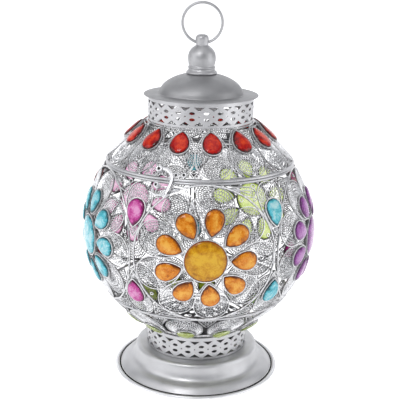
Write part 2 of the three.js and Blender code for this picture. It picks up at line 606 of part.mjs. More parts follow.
// ---------------------------------------------------------------- assembly: body
add("foot_rim_ring", hoop(RIM_RADIUS, RIM_WIRE * Math.cos(Math.PI / 8), RIM_WIRE, 36, 8), silver);
add("foot_dish", footDish(), silver);
add("lower_gallery", gallery(FOOT_HEIGHT + GAP, LOWER_GALLERY_HEIGHT), filigree);
add("candle_plate", candlePlate(), steel);
add("foot_bolt", footBolt(), steel);
const washerTop = FOOT_HEIGHT - SHEET - GAP;
const nutTop = washerTop - SHEET - GAP;
const clearBolt = BOLT_RADIUS + GAP;
add("foot_washer", ringOf(clearBolt, WASHER_RADIUS, washerTop - SHEET, washerTop, 20), steel);
add("foot_nut", nut(BOLT_RADIUS, NUT_ACROSS, nutTop), steel);

add("skirt_filigree", turn(sheetAlong(skirtCurve(), 3), 2 * SKIRT_STONES), filigree);
const skirtStoneAt = (STONE_LENGTH / 2 + 3) / skirtCurve().getLength();
const skirtStones = stoneRow(skirtCurve(), skirtStoneAt, SKIRT_STONES, rad(FIRST_SKIRT_STONE), false);
add("skirt_stones_green", skirtStones, GLASS.green);
add("lower_hoop", hoop(LOWER_HOOP_RADIUS, GLOBE_Z - LOWER_HOOP_DROP, WIRE), silver);
add("body_top_hoop", hoop(HOOP_RADIUS, SEAM_Z - SEAM_OFFSET, WIRE), silver);

const medallionSheet = medallionFrame();
const petals = petalStones();
const centre = centreStone();
const upperSpandrel = spandrel(1);
const lowerSpandrel = spandrel(-1);
const gapAngle = GAP_STONE_OFFSET / GLOBE_RADIUS;
for (let i = 0; i < MEDALLIONS; i += 1) {
  const colour = MEDALLION_COLOURS[i];
  const azimuth = rad(FIRST_MEDALLION) + 2 * Math.PI * i / MEDALLIONS;
  const place = spot(azimuth, 0, 0, GLOBE_Z);
  add(`medallion_${i + 1}_filigree`, medallionSheet, filigree, place);
  add(`medallion_${i + 1}_petals_${colour}`, petals, GLASS[colour], place);
  const seat = new THREE.Matrix4().makeTranslation(0, 0, GLOBE_RADIUS + GAP);
  add(`medallion_${i + 1}_centre_${colour}`, centre, GLASS[colour], place.clone().multiply(seat));

  const between = azimuth + Math.PI / MEDALLIONS;
  const gapTurn = new THREE.Matrix4().makeRotationZ(between).setPosition(0, 0, GLOBE_Z);
  add(`upper_spandrel_${i + 1}`, upperSpandrel, filigree, gapTurn);
  add(`lower_spandrel_${i + 1}`, lowerSpandrel, filigree, gapTurn);
  const gapColour = GAP_COLOURS[i];
  const gapPlace = spot(between, 0, 0, GLOBE_Z);
  const above = gapPlace.clone().multiply(onMedallion(gapAngle, 0, GLOBE_RADIUS + GAP));
  const below = gapPlace.clone().multiply(onMedallion(gapAngle, Math.PI, GLOBE_RADIUS + GAP));
  add(`upper_stone_${i + 1}_${gapColour}`, teardrop(), GLASS[gapColour], above);
  add(`lower_stone_${i + 1}_${gapColour}`, teardrop(), GLASS[gapColour], below);
}
add("latch_catch", latchCatch(), silver, latchFrame);
add("hinge_leaf_body", hingeLeafBody(), silver, hingeFrame);
add("hinge_pin", hingePin(), steel, hingeFrame);

// ---------------------------------------------------------------- assembly: lid, hook and ring
add("lid_hoop", hoop(HOOP_RADIUS, SEAM_Z + SEAM_OFFSET, WIRE), silver);
add("cap_filigree", turn(sheetAlong(capCurve(), 3), 2 * CAP_STONES), filigree);
const capStoneAt = 1 - (STONE_LENGTH / 2 + 5) / capCurve().getLength();
const capStones = stoneRow(capCurve(), capStoneAt, CAP_STONES, rad(FIRST_CAP_STONE), true);
add("cap_stones_red", capStones, GLASS.red);
add("upper_gallery", gallery(CAP_TOP + GAP, UPPER_GALLERY_HEIGHT), filigree);
add("dome", dome(), silver);
add("finial", finial(), silver);
add("finial_nut", nut(STUD_RADIUS, FINIAL_NUT_ACROSS, DOME_TOP - SHEET - GAP), steel);
add("hinge_leaf_lid", hingeLeafLid(), silver, hingeFrame);
add("latch_rivet", latchRivet(), silver, latchFrame);
add("latch_hook", latchHook(), silver, latchFrame);
add("hanging_ring", hangingRing(), silver);

export default group;
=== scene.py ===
"""Candle lantern: the looks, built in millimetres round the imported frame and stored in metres."""
import json
import random
from math import acos, asin, atan2, ceil, cos, hypot, pi, radians, sin, sqrt

import bpy
import numpy as np
from mathutils import Matrix, Vector
from mathutils.geometry import delaunay_2d_cdt


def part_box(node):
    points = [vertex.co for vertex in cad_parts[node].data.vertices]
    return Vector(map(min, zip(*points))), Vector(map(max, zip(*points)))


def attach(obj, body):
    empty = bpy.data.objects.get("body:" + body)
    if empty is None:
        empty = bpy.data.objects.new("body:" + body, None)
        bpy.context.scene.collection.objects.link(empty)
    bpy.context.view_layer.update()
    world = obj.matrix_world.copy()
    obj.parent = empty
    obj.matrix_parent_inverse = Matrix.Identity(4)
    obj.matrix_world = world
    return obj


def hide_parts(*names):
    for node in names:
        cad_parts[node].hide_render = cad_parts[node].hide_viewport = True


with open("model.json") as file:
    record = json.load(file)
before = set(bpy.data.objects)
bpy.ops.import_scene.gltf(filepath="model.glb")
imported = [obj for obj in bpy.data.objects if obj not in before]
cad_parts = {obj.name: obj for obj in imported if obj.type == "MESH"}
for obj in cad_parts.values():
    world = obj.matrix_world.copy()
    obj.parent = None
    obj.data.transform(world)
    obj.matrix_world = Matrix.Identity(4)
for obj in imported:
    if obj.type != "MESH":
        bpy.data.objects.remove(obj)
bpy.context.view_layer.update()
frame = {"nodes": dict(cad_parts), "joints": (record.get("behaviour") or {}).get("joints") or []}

MM = 0.001


# ---- sizes read from the frame
def low_high(node):
    low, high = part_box(node)
    return np.array(low) / MM, np.array(high) / MM


def ring_size(node):
    """(middle radius, middle height, wire radius) of a round hoop."""
    low, high = low_high(node)
    wire = (high[2] - low[2]) / 2 / cos(pi / 6)
    return high[0] - wire * cos(pi / 6), (low[2] + high[2]) / 2, wire


def azimuth_of(node):
    """The way a node lies from the axis: 0 is the front, -Y, and it grows towards +X."""
    low, high = low_high(node)
    middle = (low + high) / 2
    return atan2(middle[0], -middle[1])


def node_named(start):
    return next(name for name in sorted(frame["nodes"]) if name.startswith(start))


_, HOOP_Z, WIRE = ring_size("body_top_hoop")
LID_HOOP_RADIUS, LID_HOOP_Z, _ = ring_size("lid_hoop")
LOWER_HOOP_RADIUS, LOWER_HOOP_Z, _ = ring_size("lower_hoop")
GLOBE_Z = sum(corner[2] for corner in low_high("medallion_1_filigree")) / 2
GLOBE_RADIUS = hypot(LOWER_HOOP_RADIUS, GLOBE_Z - LOWER_HOOP_Z)
LOWER_GALLERY = low_high("lower_gallery")
UPPER_GALLERY = low_high("upper_gallery")
GALLERY_RADIUS = UPPER_GALLERY[1][1]
CAP_TOP = low_high("cap_filigree")[1][2]
SKIRT_FOOT = low_high("skirt_filigree")[0][2]
_, (_, FOOT_RADIUS, RIM_HEIGHT) = low_high("foot_rim_ring")
_, (_, DISH_RADIUS, FOOT_TOP) = low_high("foot_dish")
(_, _, BRIM_Z), (_, BRIM_RADIUS, DOME_TOP) = low_high("dome")
(_, _, STUD_FOOT), (_, _, FINIAL_TOP) = low_high("finial")
(_, _, PLATE_FOOT), (_, PLATE_RADIUS, PLATE_TOP) = low_high("candle_plate")

MEDALLIONS = 5
PETALS = 9
FIRST_PETAL = radians(11.8)
CAP_STONES = 14
FIRST_CAP_STONE = radians(7.8)
SKIRT_STONES = 12
FIRST_SKIRT_STONE = radians(15.4)
GALLERY_UNITS = 24

STONE_LENGTH = 25.0
STONE_WIDTH = 18.0
STONE_HEIGHT = 3.9
STONE_SEAT = 0.45        # lift of a stone's flat back over the surface
CENTRE_STONE_RADIUS = 19.0
CENTRE_STONE_HEIGHT = 4.0
STONE_SPACING = 3.4
GAP_STONE_OFFSET = 38.0
PETAL_OFFSET = CENTRE_STONE_RADIUS + STONE_SPACING + STONE_LENGTH / 2
MEDALLION_RADIUS = radians(34.9) * GLOBE_RADIUS
SHEET = 1.0
CAP_SWELL = 16.0         # how far the cap and the skirt keep the globe's direction
SKIRT_SWELL = 22.0

# ---- camera and light
CAMERA_AZIMUTH = radians(24.0)
CAMERA_DISTANCE = 0.8461
CAMERA_HEIGHT = 0.4189
CAMERA_PITCH = radians(15.96)
CAMERA_ROLL = radians(1.163)
CAMERA_LENS = 79.2
CAMERA_SHIFT = 0.0025
LIGHTS = [               # name, degrees round from the camera and up, distance, width, height, watts
    ("overhead", 0, 80, 1.3, 1.4, 1.0, 2.5),
    ("side_left", -70, 22, 1.5, 1.3, 1.3, 6.0),
    ("side_right", 74, 18, 1.5, 1.3, 1.3, 6.0),
    ("glint", -26, 46, 1.3, 0.4, 0.4, 4.0),
]
SKY_COLOUR = (0.93, 0.95, 1.0, 1.0)
SKY_STRENGTH = 0.43
FLOOR_COLOUR = (0.93, 0.93, 0.94, 1.0)
FLOOR_GLOW = (1.0, 1.0, 1.0, 1.0)
FLOOR_NEAR = -3.0        # in metres, as are the rest of the stage's sizes
FLOOR_FAR = 2.0
FLOOR_HALF_WIDTH = 4.0
BACKDROP_BEND = 1.2
BACKDROP_TOP = 5.0
BEND_STEPS = 24


def make_camera():
    data = bpy.data.cameras.new("camera")
    data.lens = CAMERA_LENS
    data.shift_x = CAMERA_SHIFT
    camera = bpy.data.objects.new("camera", data)
    bpy.context.scene.collection.objects.link(camera)
    reach = Vector(basis(CAMERA_AZIMUTH)[2]) * CAMERA_DISTANCE
    place = Matrix.Translation(reach + Vector((0, 0, CAMERA_HEIGHT)))
    turn = Matrix.Rotation(CAMERA_AZIMUTH, 4, "Z") @ Matrix.Rotation(pi / 2 - CAMERA_PITCH, 4, "X")
    camera.matrix_world = place @ turn @ Matrix.Rotation(CAMERA_ROLL, 4, "Z")
    bpy.context.scene.camera = camera


def area_light(name, round_from_camera, up, distance, width, height, power):
    data = bpy.data.lights.new(name, "AREA")
    data.shape = "RECTANGLE"
    data.size = width
    data.size_y = height
    data.energy = power
    light = bpy.data.objects.new(name, data)
    bpy.context.scene.collection.objects.link(light)
    way = Vector(basis(CAMERA_AZIMUTH + radians(round_from_camera), radians(up))[2])
    light.location = Vector((0, 0, GLOBE_Z * MM)) + way * distance
    light.rotation_euler = (-way).to_track_quat("-Z", "Y").to_euler()


def make_studio():
    world = bpy.data.worlds.new("studio")
    bpy.context.scene.world = world
    world.use_nodes = True
    background = world.node_tree.nodes["Background"]
    background.inputs["Color"].default_value = SKY_COLOUR
    background.inputs["Strength"].default_value = SKY_STRENGTH
    for light in LIGHTS:
        area_light(*light)
    bpy.context.scene.view_settings.view_transform = "Standard"
    bpy.context.scene.view_settings.look = "None"


def make_floor():
    """A pale floor that curves up into a backdrop behind the lantern."""
    outline = [(FLOOR_NEAR, 0.0), (FLOOR_FAR, 0.0)]
    for i in range(1, BEND_STEPS + 1):
        angle = pi / 2 * i / BEND_STEPS
        outline.append((FLOOR_FAR + BACKDROP_BEND * sin(angle), BACKDROP_BEND * (1 - cos(angle))))
    outline.append((FLOOR_FAR + BACKDROP_BEND, BACKDROP_TOP))
    verts = [(side * FLOOR_HALF_WIDTH, y, z) for side in (-1, 1) for y, z in outline]
    count = len(outline)
    faces = [(i, count + i, count + i + 1, i + 1) for i in range(count - 1)]
    mesh = bpy.data.meshes.new("floor")
    mesh.from_pydata(verts, [], faces)
    mesh.transform(Matrix.Rotation(CAMERA_AZIMUTH, 4, "Z"))
    mesh.shade_smooth()
    material, _, _ = new_material("pale_floor", Base_Color=FLOOR_COLOUR, Roughness=0.6,
                                  Emission_Color=FLOOR_GLOW, Emission_Strength=0.55)
    mesh.materials.append(material)
    floor = bpy.data.objects.new("floor", mesh)
    bpy.context.scene.collection.objects.link(floor)


# ---- materials
METAL_GRAIN = 1400.0     # noise scales, in turns per metre
METAL_SPECKS = 900.0
METAL_SHEEN = 240.0
WIRE_GRAIN = 2400.0
GLASS_CLOUD = 120.0
GLASS_STREAK = 380.0


def new_material(name, **values):
    """A material and its tree and shader, with values set on the shader's sockets."""
    material = bpy.data.materials.new(name)
    material.use_nodes = True
    shader = material.node_tree.nodes["Principled BSDF"]
    for socket, value in values.items():
        shader.inputs[socket.replace("_", " ")].default_value = value
    return material, material.node_tree, shader


def add_node(tree, kind, **values):
    node = tree.nodes.new(kind)
    for name, value in values.items():
        if name in node.inputs:
            node.inputs[name].default_value = value
        else:
            setattr(node, name, value)
    return node


def object_noise(tree, scale, detail=3.0, roughness=0.55, distortion=0.0):
    coords = add_node(tree, "ShaderNodeTexCoord")
    noise = add_node(tree, "ShaderNodeTexNoise", Scale=scale, Detail=detail, Roughness=roughness,
                     Distortion=distortion)
    tree.links.new(coords.outputs["Object"], noise.inputs["Vector"])
    return noise.outputs["Fac"]


def multiply_add(tree, source, factor, added):
    node = add_node(tree, "ShaderNodeMath", operation="MULTIPLY_ADD")
    tree.links.new(source, node.inputs[0])
    node.inputs[1].default_value = factor
    tree.links.new(added, node.inputs[2])
    return node.outputs[0]


def part_of(tree, source, low, high):
    """How far a value lies from low, 0, to high, 1."""
    node = add_node(tree, "ShaderNodeMapRange")
    tree.links.new(source, node.inputs["Value"])
    node.inputs["From Min"].default_value = low
    node.inputs["From Max"].default_value = high
    return node.outputs["Result"]


def ramp(tree, source, stops):
    node = add_node(tree, "ShaderNodeValToRGB")
    elements = node.color_ramp.elements
    while len(elements) < len(stops):
        elements.new(0.5)
    for element, (place, colour) in zip(elements, stops):
        element.position = place
        element.color = (*colour, 1)
    tree.links.new(source, node.inputs["Fac"])
    return node.outputs["Color"]


def add_bump(tree, shader, height, strength, distance):
    bump = add_node(tree, "ShaderNodeBump", Strength=strength, Distance=distance)
    tree.links.new(height, bump.inputs["Height"])
    tree.links.new(bump.outputs["Normal"], shader.inputs["Normal"])


def grey(value):
    return (value, value, value * 1.015)


def metal_material(name, dark, bright, roughness, cloud=60.0, metallic=0.85):
    """Silver paint on steel: a soft cloudy tone, a fine grain and darker specks where it is worn."""
    material, tree, shader = new_material(name, Metallic=metallic)
    tone = ramp(tree, object_noise(tree, cloud, 4.0), [(0.3, grey(dark)), (0.7, grey(bright))])
    specks = ramp(tree, object_noise(tree, METAL_SPECKS, 2.0), [(0.66, grey(1.0)), (0.78, grey(0.7))])
    mix = add_node(tree, "ShaderNodeMix", data_type="RGBA", blend_type="MULTIPLY")
    mix.inputs["Factor"].default_value = 0.5
    tree.links.new(tone, mix.inputs["A"])
    tree.links.new(specks, mix.inputs["B"])
    tree.links.new(mix.outputs["Result"], shader.inputs["Base Color"])
    rough_stops = [(0.3, grey(roughness - 0.06)), (0.7, grey(roughness + 0.08))]
    rough = ramp(tree, object_noise(tree, METAL_SHEEN), rough_stops)
    tree.links.new(rough, shader.inputs["Roughness"])
    add_bump(tree, shader, object_noise(tree, METAL_GRAIN, 2.0), 0.06, 0.0004)
    return material


def wire_material(name, crevice, crest, cloud):
    """Silver wire with random patches of wear, painted dark as shade with some tarnish down its sides where
    it meets the sheet, and painted bright as a highlight along its crest.
    """
    material, tree, shader = new_material(name, Metallic=0.8, Roughness=0.3)
    # Painted shade and highlight: the crest value, 0 at a wire's foot and 1 on its top edge, darkens the
    # sides and brightens the crest.
    height = add_node(tree, "ShaderNodeAttribute", attribute_name="crest").outputs["Fac"]
    wear_and_painted_shade = multiply_add(tree, object_noise(tree, cloud, 4.0, 0.65), 2.4, height)
    share = part_of(tree, wear_and_painted_shade, 0.95, 2.3)
    colour = ramp(tree, share, [(0.10, grey(crevice)), (0.42, grey(0.5 * crest)), (0.8, grey(crest))])
    tree.links.new(colour, shader.inputs["Base Color"])
    add_bump(tree, shader, object_noise(tree, WIRE_GRAIN, 2.0), 0.08, 0.0003)
    return material


def glass_material(name, deep, body, pale, clear):
    """Cast glass with cloudy streaks and paler patches in its body, darkened to its deep colour at the rim
    as painted shade, which leaves its middle paler as a painted reflection.
    """
    material, tree, shader = new_material(
        name, Roughness=0.16, IOR=1.4, Transmission_Weight=clear, Specular_IOR_Level=0.08,
        Coat_Weight=0.5, Coat_Roughness=0.03)
    rim = add_node(tree, "ShaderNodeAttribute", attribute_name="rim").outputs["Fac"]
    cloud = object_noise(tree, GLASS_CLOUD, 3.0, 0.5, 0.4)
    streak = object_noise(tree, GLASS_STREAK, 4.0, 0.6, 1.6)
    # Painted shade: the rim value darkens each stone towards its edge and, raised to the ninth power,
    # paints a thin dark band at the rim; the middle stays paler as a painted reflection.
    band = add_node(tree, "ShaderNodeMath", operation="POWER")
    tree.links.new(rim, band.inputs[0])
    band.inputs[1].default_value = 9.0
    edge = multiply_add(tree, rim, 0.35, band.outputs[0])
    depth = multiply_add(tree, cloud, 1.5, edge)
    mottle_and_rim_shade = multiply_add(tree, streak, 1.0, depth)
    light = [0.35 * a + 0.65 * b for a, b in zip(pale, body)]
    shade = [0.66 * c for c in body]
    stops = [(0.04, pale), (0.30, light), (0.46, body), (0.66, shade), (0.95, deep)]
    colour = ramp(tree, part_of(tree, mottle_and_rim_shade, 1.08, 1.98), stops)
    tree.links.new(colour, shader.inputs["Base Color"])
    add_bump(tree, shader, streak, 0.06, 0.0006)
    return material


GLASS_COLOURS = {        # deep, body and pale colours, and how much light passes
    "orange": ((0.12, 0.022, 0.001), (0.70, 0.20, 0.001), (0.88, 0.46, 0.07), 0.2),
    "golden": ((0.34, 0.08, 0.001), (0.57, 0.245, 0.001), (0.76, 0.44, 0.02), 0.2),
    "purple": ((0.12, 0.015, 0.14), (0.42, 0.08, 0.46), (0.68, 0.33, 0.72), 0.5),
    "lime": ((0.36, 0.46, 0.06), (0.72, 0.86, 0.28), (0.90, 0.96, 0.55), 0.8),
    "pink": ((0.50, 0.12, 0.30), (0.94, 0.52, 0.74), (0.97, 0.75, 0.88), 0.8),
    "turquoise": ((0.004, 0.08, 0.10), (0.090, 0.60, 0.72), (0.60, 0.90, 0.94), 0.4),
    "magenta": ((0.10, 0.002, 0.05), (0.64, 0.04, 0.36), (0.88, 0.42, 0.72), 0.4),
    "red": ((0.05, 0.001, 0.001), (0.47, 0.002, 0.001), (0.80, 0.06, 0.01), 0.2),
    "green": ((0.12, 0.16, 0.010), (0.34, 0.43, 0.020), (0.56, 0.66, 0.16), 0.3),
}


# ---- mesh building
class Build:
    """Collects points and faces, in millimetres, and the value of one point attribute."""

    def __init__(self):
        self.points = []
        self.faces = []
        self.slots = []
        self.values = []
        self.count = 0

    def add(self, points, faces, slot=0, values=None):
        points = np.asarray(points, float)
        self.points.append(points)
        start = self.count
        self.faces.extend([tuple(start + i for i in face) for face in faces])
        self.slots.extend(slot if isinstance(slot, list) else [slot] * len(faces))
        self.values.append(np.zeros(len(points)) if values is None else np.asarray(values, float))
        self.count += len(points)

    def piece(self, name, materials, body, replaced, slot, attribute=None):
        """Makes the piece, which rides on a body and stands for a node of the frame."""
        mesh = bpy.data.meshes.new(name)
        mesh.from_pydata((np.concatenate(self.points) * MM).tolist(), [], self.faces)
        mesh.polygons.foreach_set("material_index", self.slots)
        if attribute:
            layer = mesh.attributes.new(attribute, "FLOAT", "POINT")
            layer.data.foreach_set("value", np.concatenate(self.values).astype(np.float32))
        for material in materials:
            mesh.materials.append(material)
        mesh.validate()
        mesh.set_sharp_from_angle(angle=radians(38))
        obj = bpy.data.objects.new(name, mesh)
        bpy.context.scene.collection.objects.link(obj)
        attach(obj, body)
        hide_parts(replaced)


def strip_faces(rows, columns, closed=False):
    """Quads between rows of points. Each row is closed, and the rows may be too."""
    faces = []
    for i in range(rows if closed else rows - 1):
        here = i * columns
        above = (i + 1) % rows * columns
        for j in range(columns):
            k = (j + 1) % columns
            faces.append((here + j, here + k, above + k, above + j))
    return faces


def unit(vectors):
    return vectors / np.maximum(np.linalg.norm(vectors, axis=-1, keepdims=True), 1e-9)


BRIGHT = 0               # material slots of a filigree piece
FINE = 1
INNER = 2                # faces that look inwards, near black as painted shade of the lantern's inside


def circle(count, radius=1.0):
    angle = 2 * pi * np.arange(count) / count
    return radius * np.stack([np.cos(angle), np.sin(angle)], 1)


def wire(build, points, normals, width, height, sides=4, closed=False, slot=0, lined=False):
    """A wire along points: its width lies across the surface and its height along the normals. A
    lined wire has the inner material, near-black painted shade, on the faces that look inwards."""
    points = np.asarray(points, float)
    along = np.roll(points, -1, 0) - np.roll(points, 1, 0) if closed else np.gradient(points, axis=0)
    along = unit(along)
    across = unit(np.cross(along, normals))
    upright = np.cross(across, along)
    first = pi / 2 if sides == 3 else pi / sides
    angles = first + 2 * pi * np.arange(sides) / sides
    section = np.stack([width * np.cos(angles), height * np.sin(angles)], 1) / (2 * cos(pi / sides))
    rings = points[:, None] + section[:, :1] * across[:, None] + section[:, 1:] * upright[:, None]
    count = len(points)
    faces = strip_faces(count, sides, closed)
    # Faces that look inwards get the inner slot: painted shade of the lantern's inside.
    inward = [lined and sin(first + 2 * pi * (j + 0.5) / sides) < -0.9 for j in range(sides)]
    slots = [INNER if inward[i % sides] else slot for i in range(len(faces))]
    if not closed:
        faces.append(tuple(range(sides - 1, -1, -1)))
        faces.append(tuple((count - 1) * sides + i for i in range(sides)))
        slots += [slot, slot]
    # The crest value, 1 along the top edge, drives the painted shade and highlight of the wire's material.
    build.add(rings.reshape(-1, 3), faces, slots, np.tile(np.maximum(np.sin(angles), 0.0), count))


def lathe(build, outline, segments=128, slot=0, place=None):
    """Turns a closed (radius, height) outline about the axis. A point on the axis becomes one vertex."""
    turn = circle(segments)
    points = []
    rings = []
    for r, z in outline:
        start = len(points)
        if r < 1e-6:
            points.append((0.0, 0.0, z))
            rings.append([start] * segments)
        else:
            points.extend((r * x, r * y, z) for x, y in turn)
            rings.append(range(start, start + segments))
    faces = []
    for lower, upper in zip(rings, rings[1:] + rings[:1]):
        for j in range(segments):
            k = (j + 1) % segments
            corners = tuple(dict.fromkeys((lower[j], lower[k], upper[k], upper[j])))
            if len(corners) > 2:
                faces.append(corners)
    points = np.array(points, float)
    build.add(place(points) if place else points, faces, slot)


def bezier(start, pull_a, pull_b, end, count=12):
    t = np.linspace(0, 1, count)[:, None]
    a, b, c, d = (np.array(p, float) for p in (start, pull_a, pull_b, end))
    curve = (1 - t) ** 3 * a + 3 * (1 - t) ** 2 * t * b + 3 * (1 - t) * t ** 2 * c + t ** 3 * d
    return [tuple(point) for point in curve]


def bead(radius, height, across, count):
    """The outline of a round bead."""
    return circle(count, across) + (radius, height)


def level_ring(build, radius, z, segments, width, thick, sides=4):
    """A wire that runs level round the axis."""
    ring = circle(segments, radius)
    points = np.column_stack([ring[:, 1], -ring[:, 0], np.full(segments, z)])
    wire(build, points, np.tile([0.0, 0.0, 1.0], (segments, 1)), width, thick, sides, closed=True)


def smooth(points, steps=6):
    """A Catmull-Rom curve through (radius, height) points."""
    p = np.array(points, float)
    padded = np.vstack([2 * p[0] - p[1], p, 2 * p[-1] - p[-2]])
    out = []
    for i in range(len(p) - 1):
        a, b, c, d = padded[i:i + 4]
        for t in np.linspace(0, 1, steps, endpoint=False):
            out.append(0.5 * (2 * b + (c - a) * t + (2 * a - 5 * b + 4 * c - d) * t ** 2
                              + (3 * b - a - 3 * c + d) * t ** 3))
    out.append(p[-1])
    return [tuple(q) for q in out]


# ---- surfaces that the filigree follows
def basis(azimuth, latitude=0.0):
    """Rows: right, up along the surface, outwards."""
    outward = np.array([sin(azimuth) * cos(latitude), -cos(azimuth) * cos(latitude), sin(latitude)])
    right = np.array([cos(azimuth), sin(azimuth), 0.0])
    return np.stack([right, np.cross(outward, right), outward])


def on_globe(ways, lift):
    return ways * (GLOBE_RADIUS + lift)[..., None] + (0, 0, GLOBE_Z), ways


def globe_disc(azimuth):
    """Maps (x right, y up) from a point on the equator so that distances from that point are true."""
    rows = basis(azimuth)

    def place(x, y, lift):
        distance = np.hypot(x, y) / GLOBE_RADIUS
        bearing = np.arctan2(x, y)
        across = np.sin(distance)
        ways = np.stack([across * np.sin(bearing), across * np.cos(bearing), np.cos(distance)], -1)
        return on_globe(ways @ rows, lift)

    return place


def globe_band(azimuth):
    """Maps (x along the parallel, y up the meridian) from a point on the equator."""
    def place(x, y, lift):
        latitude = y / GLOBE_RADIUS
        level = np.cos(latitude)
        turn = azimuth + x / (GLOBE_RADIUS * level)
        return on_globe(np.stack([np.sin(turn) * level, -np.cos(turn) * level, np.sin(latitude)], -1), lift)

    return place


class Meridian:
    """A curve in (radius, height) with its distances, from the hoop towards the gallery."""

    def __init__(self, start, pull, end):
        t = np.linspace(0, 1, 200)[:, None]
        a, b, c = (np.array(p, float) for p in (start, pull, end))
        self.points = (1 - t) ** 2 * a + 2 * (1 - t) * t * b + t ** 2 * c
        steps = np.linalg.norm(np.diff(self.points, axis=0), axis=1)
        self.distance = np.concatenate([[0], np.cumsum(steps)])
        self.length = self.distance[-1]
        along = unit(np.gradient(self.points, axis=0))
        side = 1.0 if end[1] > start[1] else -1.0
        self.normal = np.stack([side * along[:, 1], -side * along[:, 0]], 1)

    def at(self, y, values):
        return np.stack([np.interp(y, self.distance, values[:, i]) for i in range(2)], -1)

    def surface(self, azimuth):
        def place(x, y, lift):
            radius, z = self.at(y, self.points).T
            across, rise = self.at(y, self.normal).T
            turn = azimuth + x / radius
            ahead = np.stack([np.sin(turn), -np.cos(turn)])
            points = np.column_stack([(ahead * (radius + across * lift)).T, z + rise * lift])
            return points, unit(np.column_stack([(ahead * across).T, rise]))

        return place


def hoop_to(hoop_radius, hoop_z, swell, end):
    """The meridian that leaves a hoop along the globe's curve and ends at a gallery's edge."""
    rise = hoop_z - GLOBE_Z
    side = 1.0 if rise > 0 else -1.0
    tangent = np.array([-abs(rise), side * hoop_radius]) / hypot(rise, hoop_radius)
    start = np.array([hoop_radius, hoop_z])
    return Meridian(start, start + swell * tangent, end)


CAP = hoop_to(LID_HOOP_RADIUS, LID_HOOP_Z, CAP_SWELL, (GALLERY_RADIUS + 0.3, CAP_TOP))
SKIRT = hoop_to(LOWER_HOOP_RADIUS, LOWER_HOOP_Z, SKIRT_SWELL, (GALLERY_RADIUS + 0.3, SKIRT_FOOT + 1))


def shifted(place, x0, y0, turn=0.0):
    """The same surface with its own origin moved to (x0, y0) and turned clockwise."""
    c, s = cos(turn), sin(turn)
    return lambda x, y, lift: place(x0 + x * c + y * s, y0 - x * s + y * c, lift)


def spoke(disc, distance, bearing):
    """The surface at a distance along a bearing from the disc's middle, turned with it."""
    return shifted(disc, distance * sin(bearing), distance * cos(bearing), bearing)


def medallion_disc(index):
    return globe_disc(azimuth_of(node_named(f"medallion_{index}_centre")))


# ---- outlines on a surface
def drop_outline(length, width, count, point=0.85):
    """A teardrop, x and y, with its round end at +y and its tip at -y. It starts at the right."""
    angle = 2 * pi * np.arange(count) / count
    half = width / 2
    x = half * np.cos(angle)
    upper = np.sin(angle) >= 0
    x = np.where(upper, x, x * np.abs(np.cos(angle)) ** (2 * point - 1))
    y = np.where(upper, half * np.sin(angle), (length - half) * np.sin(angle))
    return np.stack([x, y + length / 2 - half], 1)


def trace(build, place, outline, lift, width, height, sides=4, closed=True, slot=BRIGHT):
    outline = np.asarray(outline, float)
    points, normals = place(outline[:, 0], outline[:, 1], np.full(len(outline), float(lift)))
    wire(build, points, normals, width, height, sides, closed, slot, lined=True)


# ---- filigree
BORDER = 0.8            # widths of the wires
LACE = 0.66
LACE_HEIGHT = 0.45
ROW_SPACING = 3.0
BAR_SPACING = 2.5
SCALLOP = 0.75          # how far a row swings towards the bars that meet it
LOOSENESS = 0.35        # how far hand work strays from the pattern
WIRE_LIFT = 0.3         # of a border's middle over the surface
BEZEL_WALL = 0.8
BEZEL_HEIGHT = 2.4
LOBE_POINT = 0.95       # how sharp a lobe's tip is
SEED_LENGTH, SEED_WIDTH, SEED_RISE = 9.0, 3.0, 4.0
LEAF_LENGTH, LEAF_WIDTH, LEAF_LEAN = 27.0, 9.4, radians(77)


def runs(kept):
    """Start and length of each unbroken run in a closed row of true and false."""
    count = len(kept)
    if kept.all():
        return [(0, count)]
    starts = np.flatnonzero(kept & ~np.roll(kept, 1))
    ends = np.flatnonzero(kept & ~np.roll(kept, -1))
    if len(ends) and ends[0] < starts[0]:
        ends = np.roll(ends, -1)
    return [(start, (end - start) % count + 1) for start, end in zip(starts, ends)]


def bars(build, place, starts, ends):
    """Short three-sided wires, their flat side inwards in the near-black inner slot, painted shade."""
    lift = np.full(len(starts), 0.1)
    low_end, normals = place(starts[:, 0], starts[:, 1], lift)
    high_end, _ = place(ends[:, 0], ends[:, 1], lift)
    across = unit(np.cross(high_end - low_end, normals)) * LACE / 2
    crest = normals * LACE_HEIGHT
    points = np.stack([end + side for end in (low_end, high_end) for side in (-across, across, crest)], 1)
    sides = [(0, 2, 5, 3), (2, 1, 4, 5), (0, 1, 2), (3, 5, 4), (0, 3, 4, 1)]
    slots = [FINE, FINE, FINE, FINE, INNER]
    faces = [tuple(6 * k + i for i in side) for k in range(len(points)) for side in sides]
    build.add(points.reshape(-1, 3), faces, slots * len(points), [0, 0, 1, 0, 0, 1] * len(points))


def even_places(outline, spacing, offset):
    """Fractional places along a closed outline, evenly spaced by distance."""
    steps = np.linalg.norm(np.roll(outline, -1, 0) - outline, axis=1)
    distance = np.concatenate([[0], np.cumsum(steps)])
    number = int(distance[-1] / spacing)
    wanted = (np.arange(number) + offset) / number * distance[-1]
    return np.interp(wanted, distance, np.arange(len(outline) + 1))


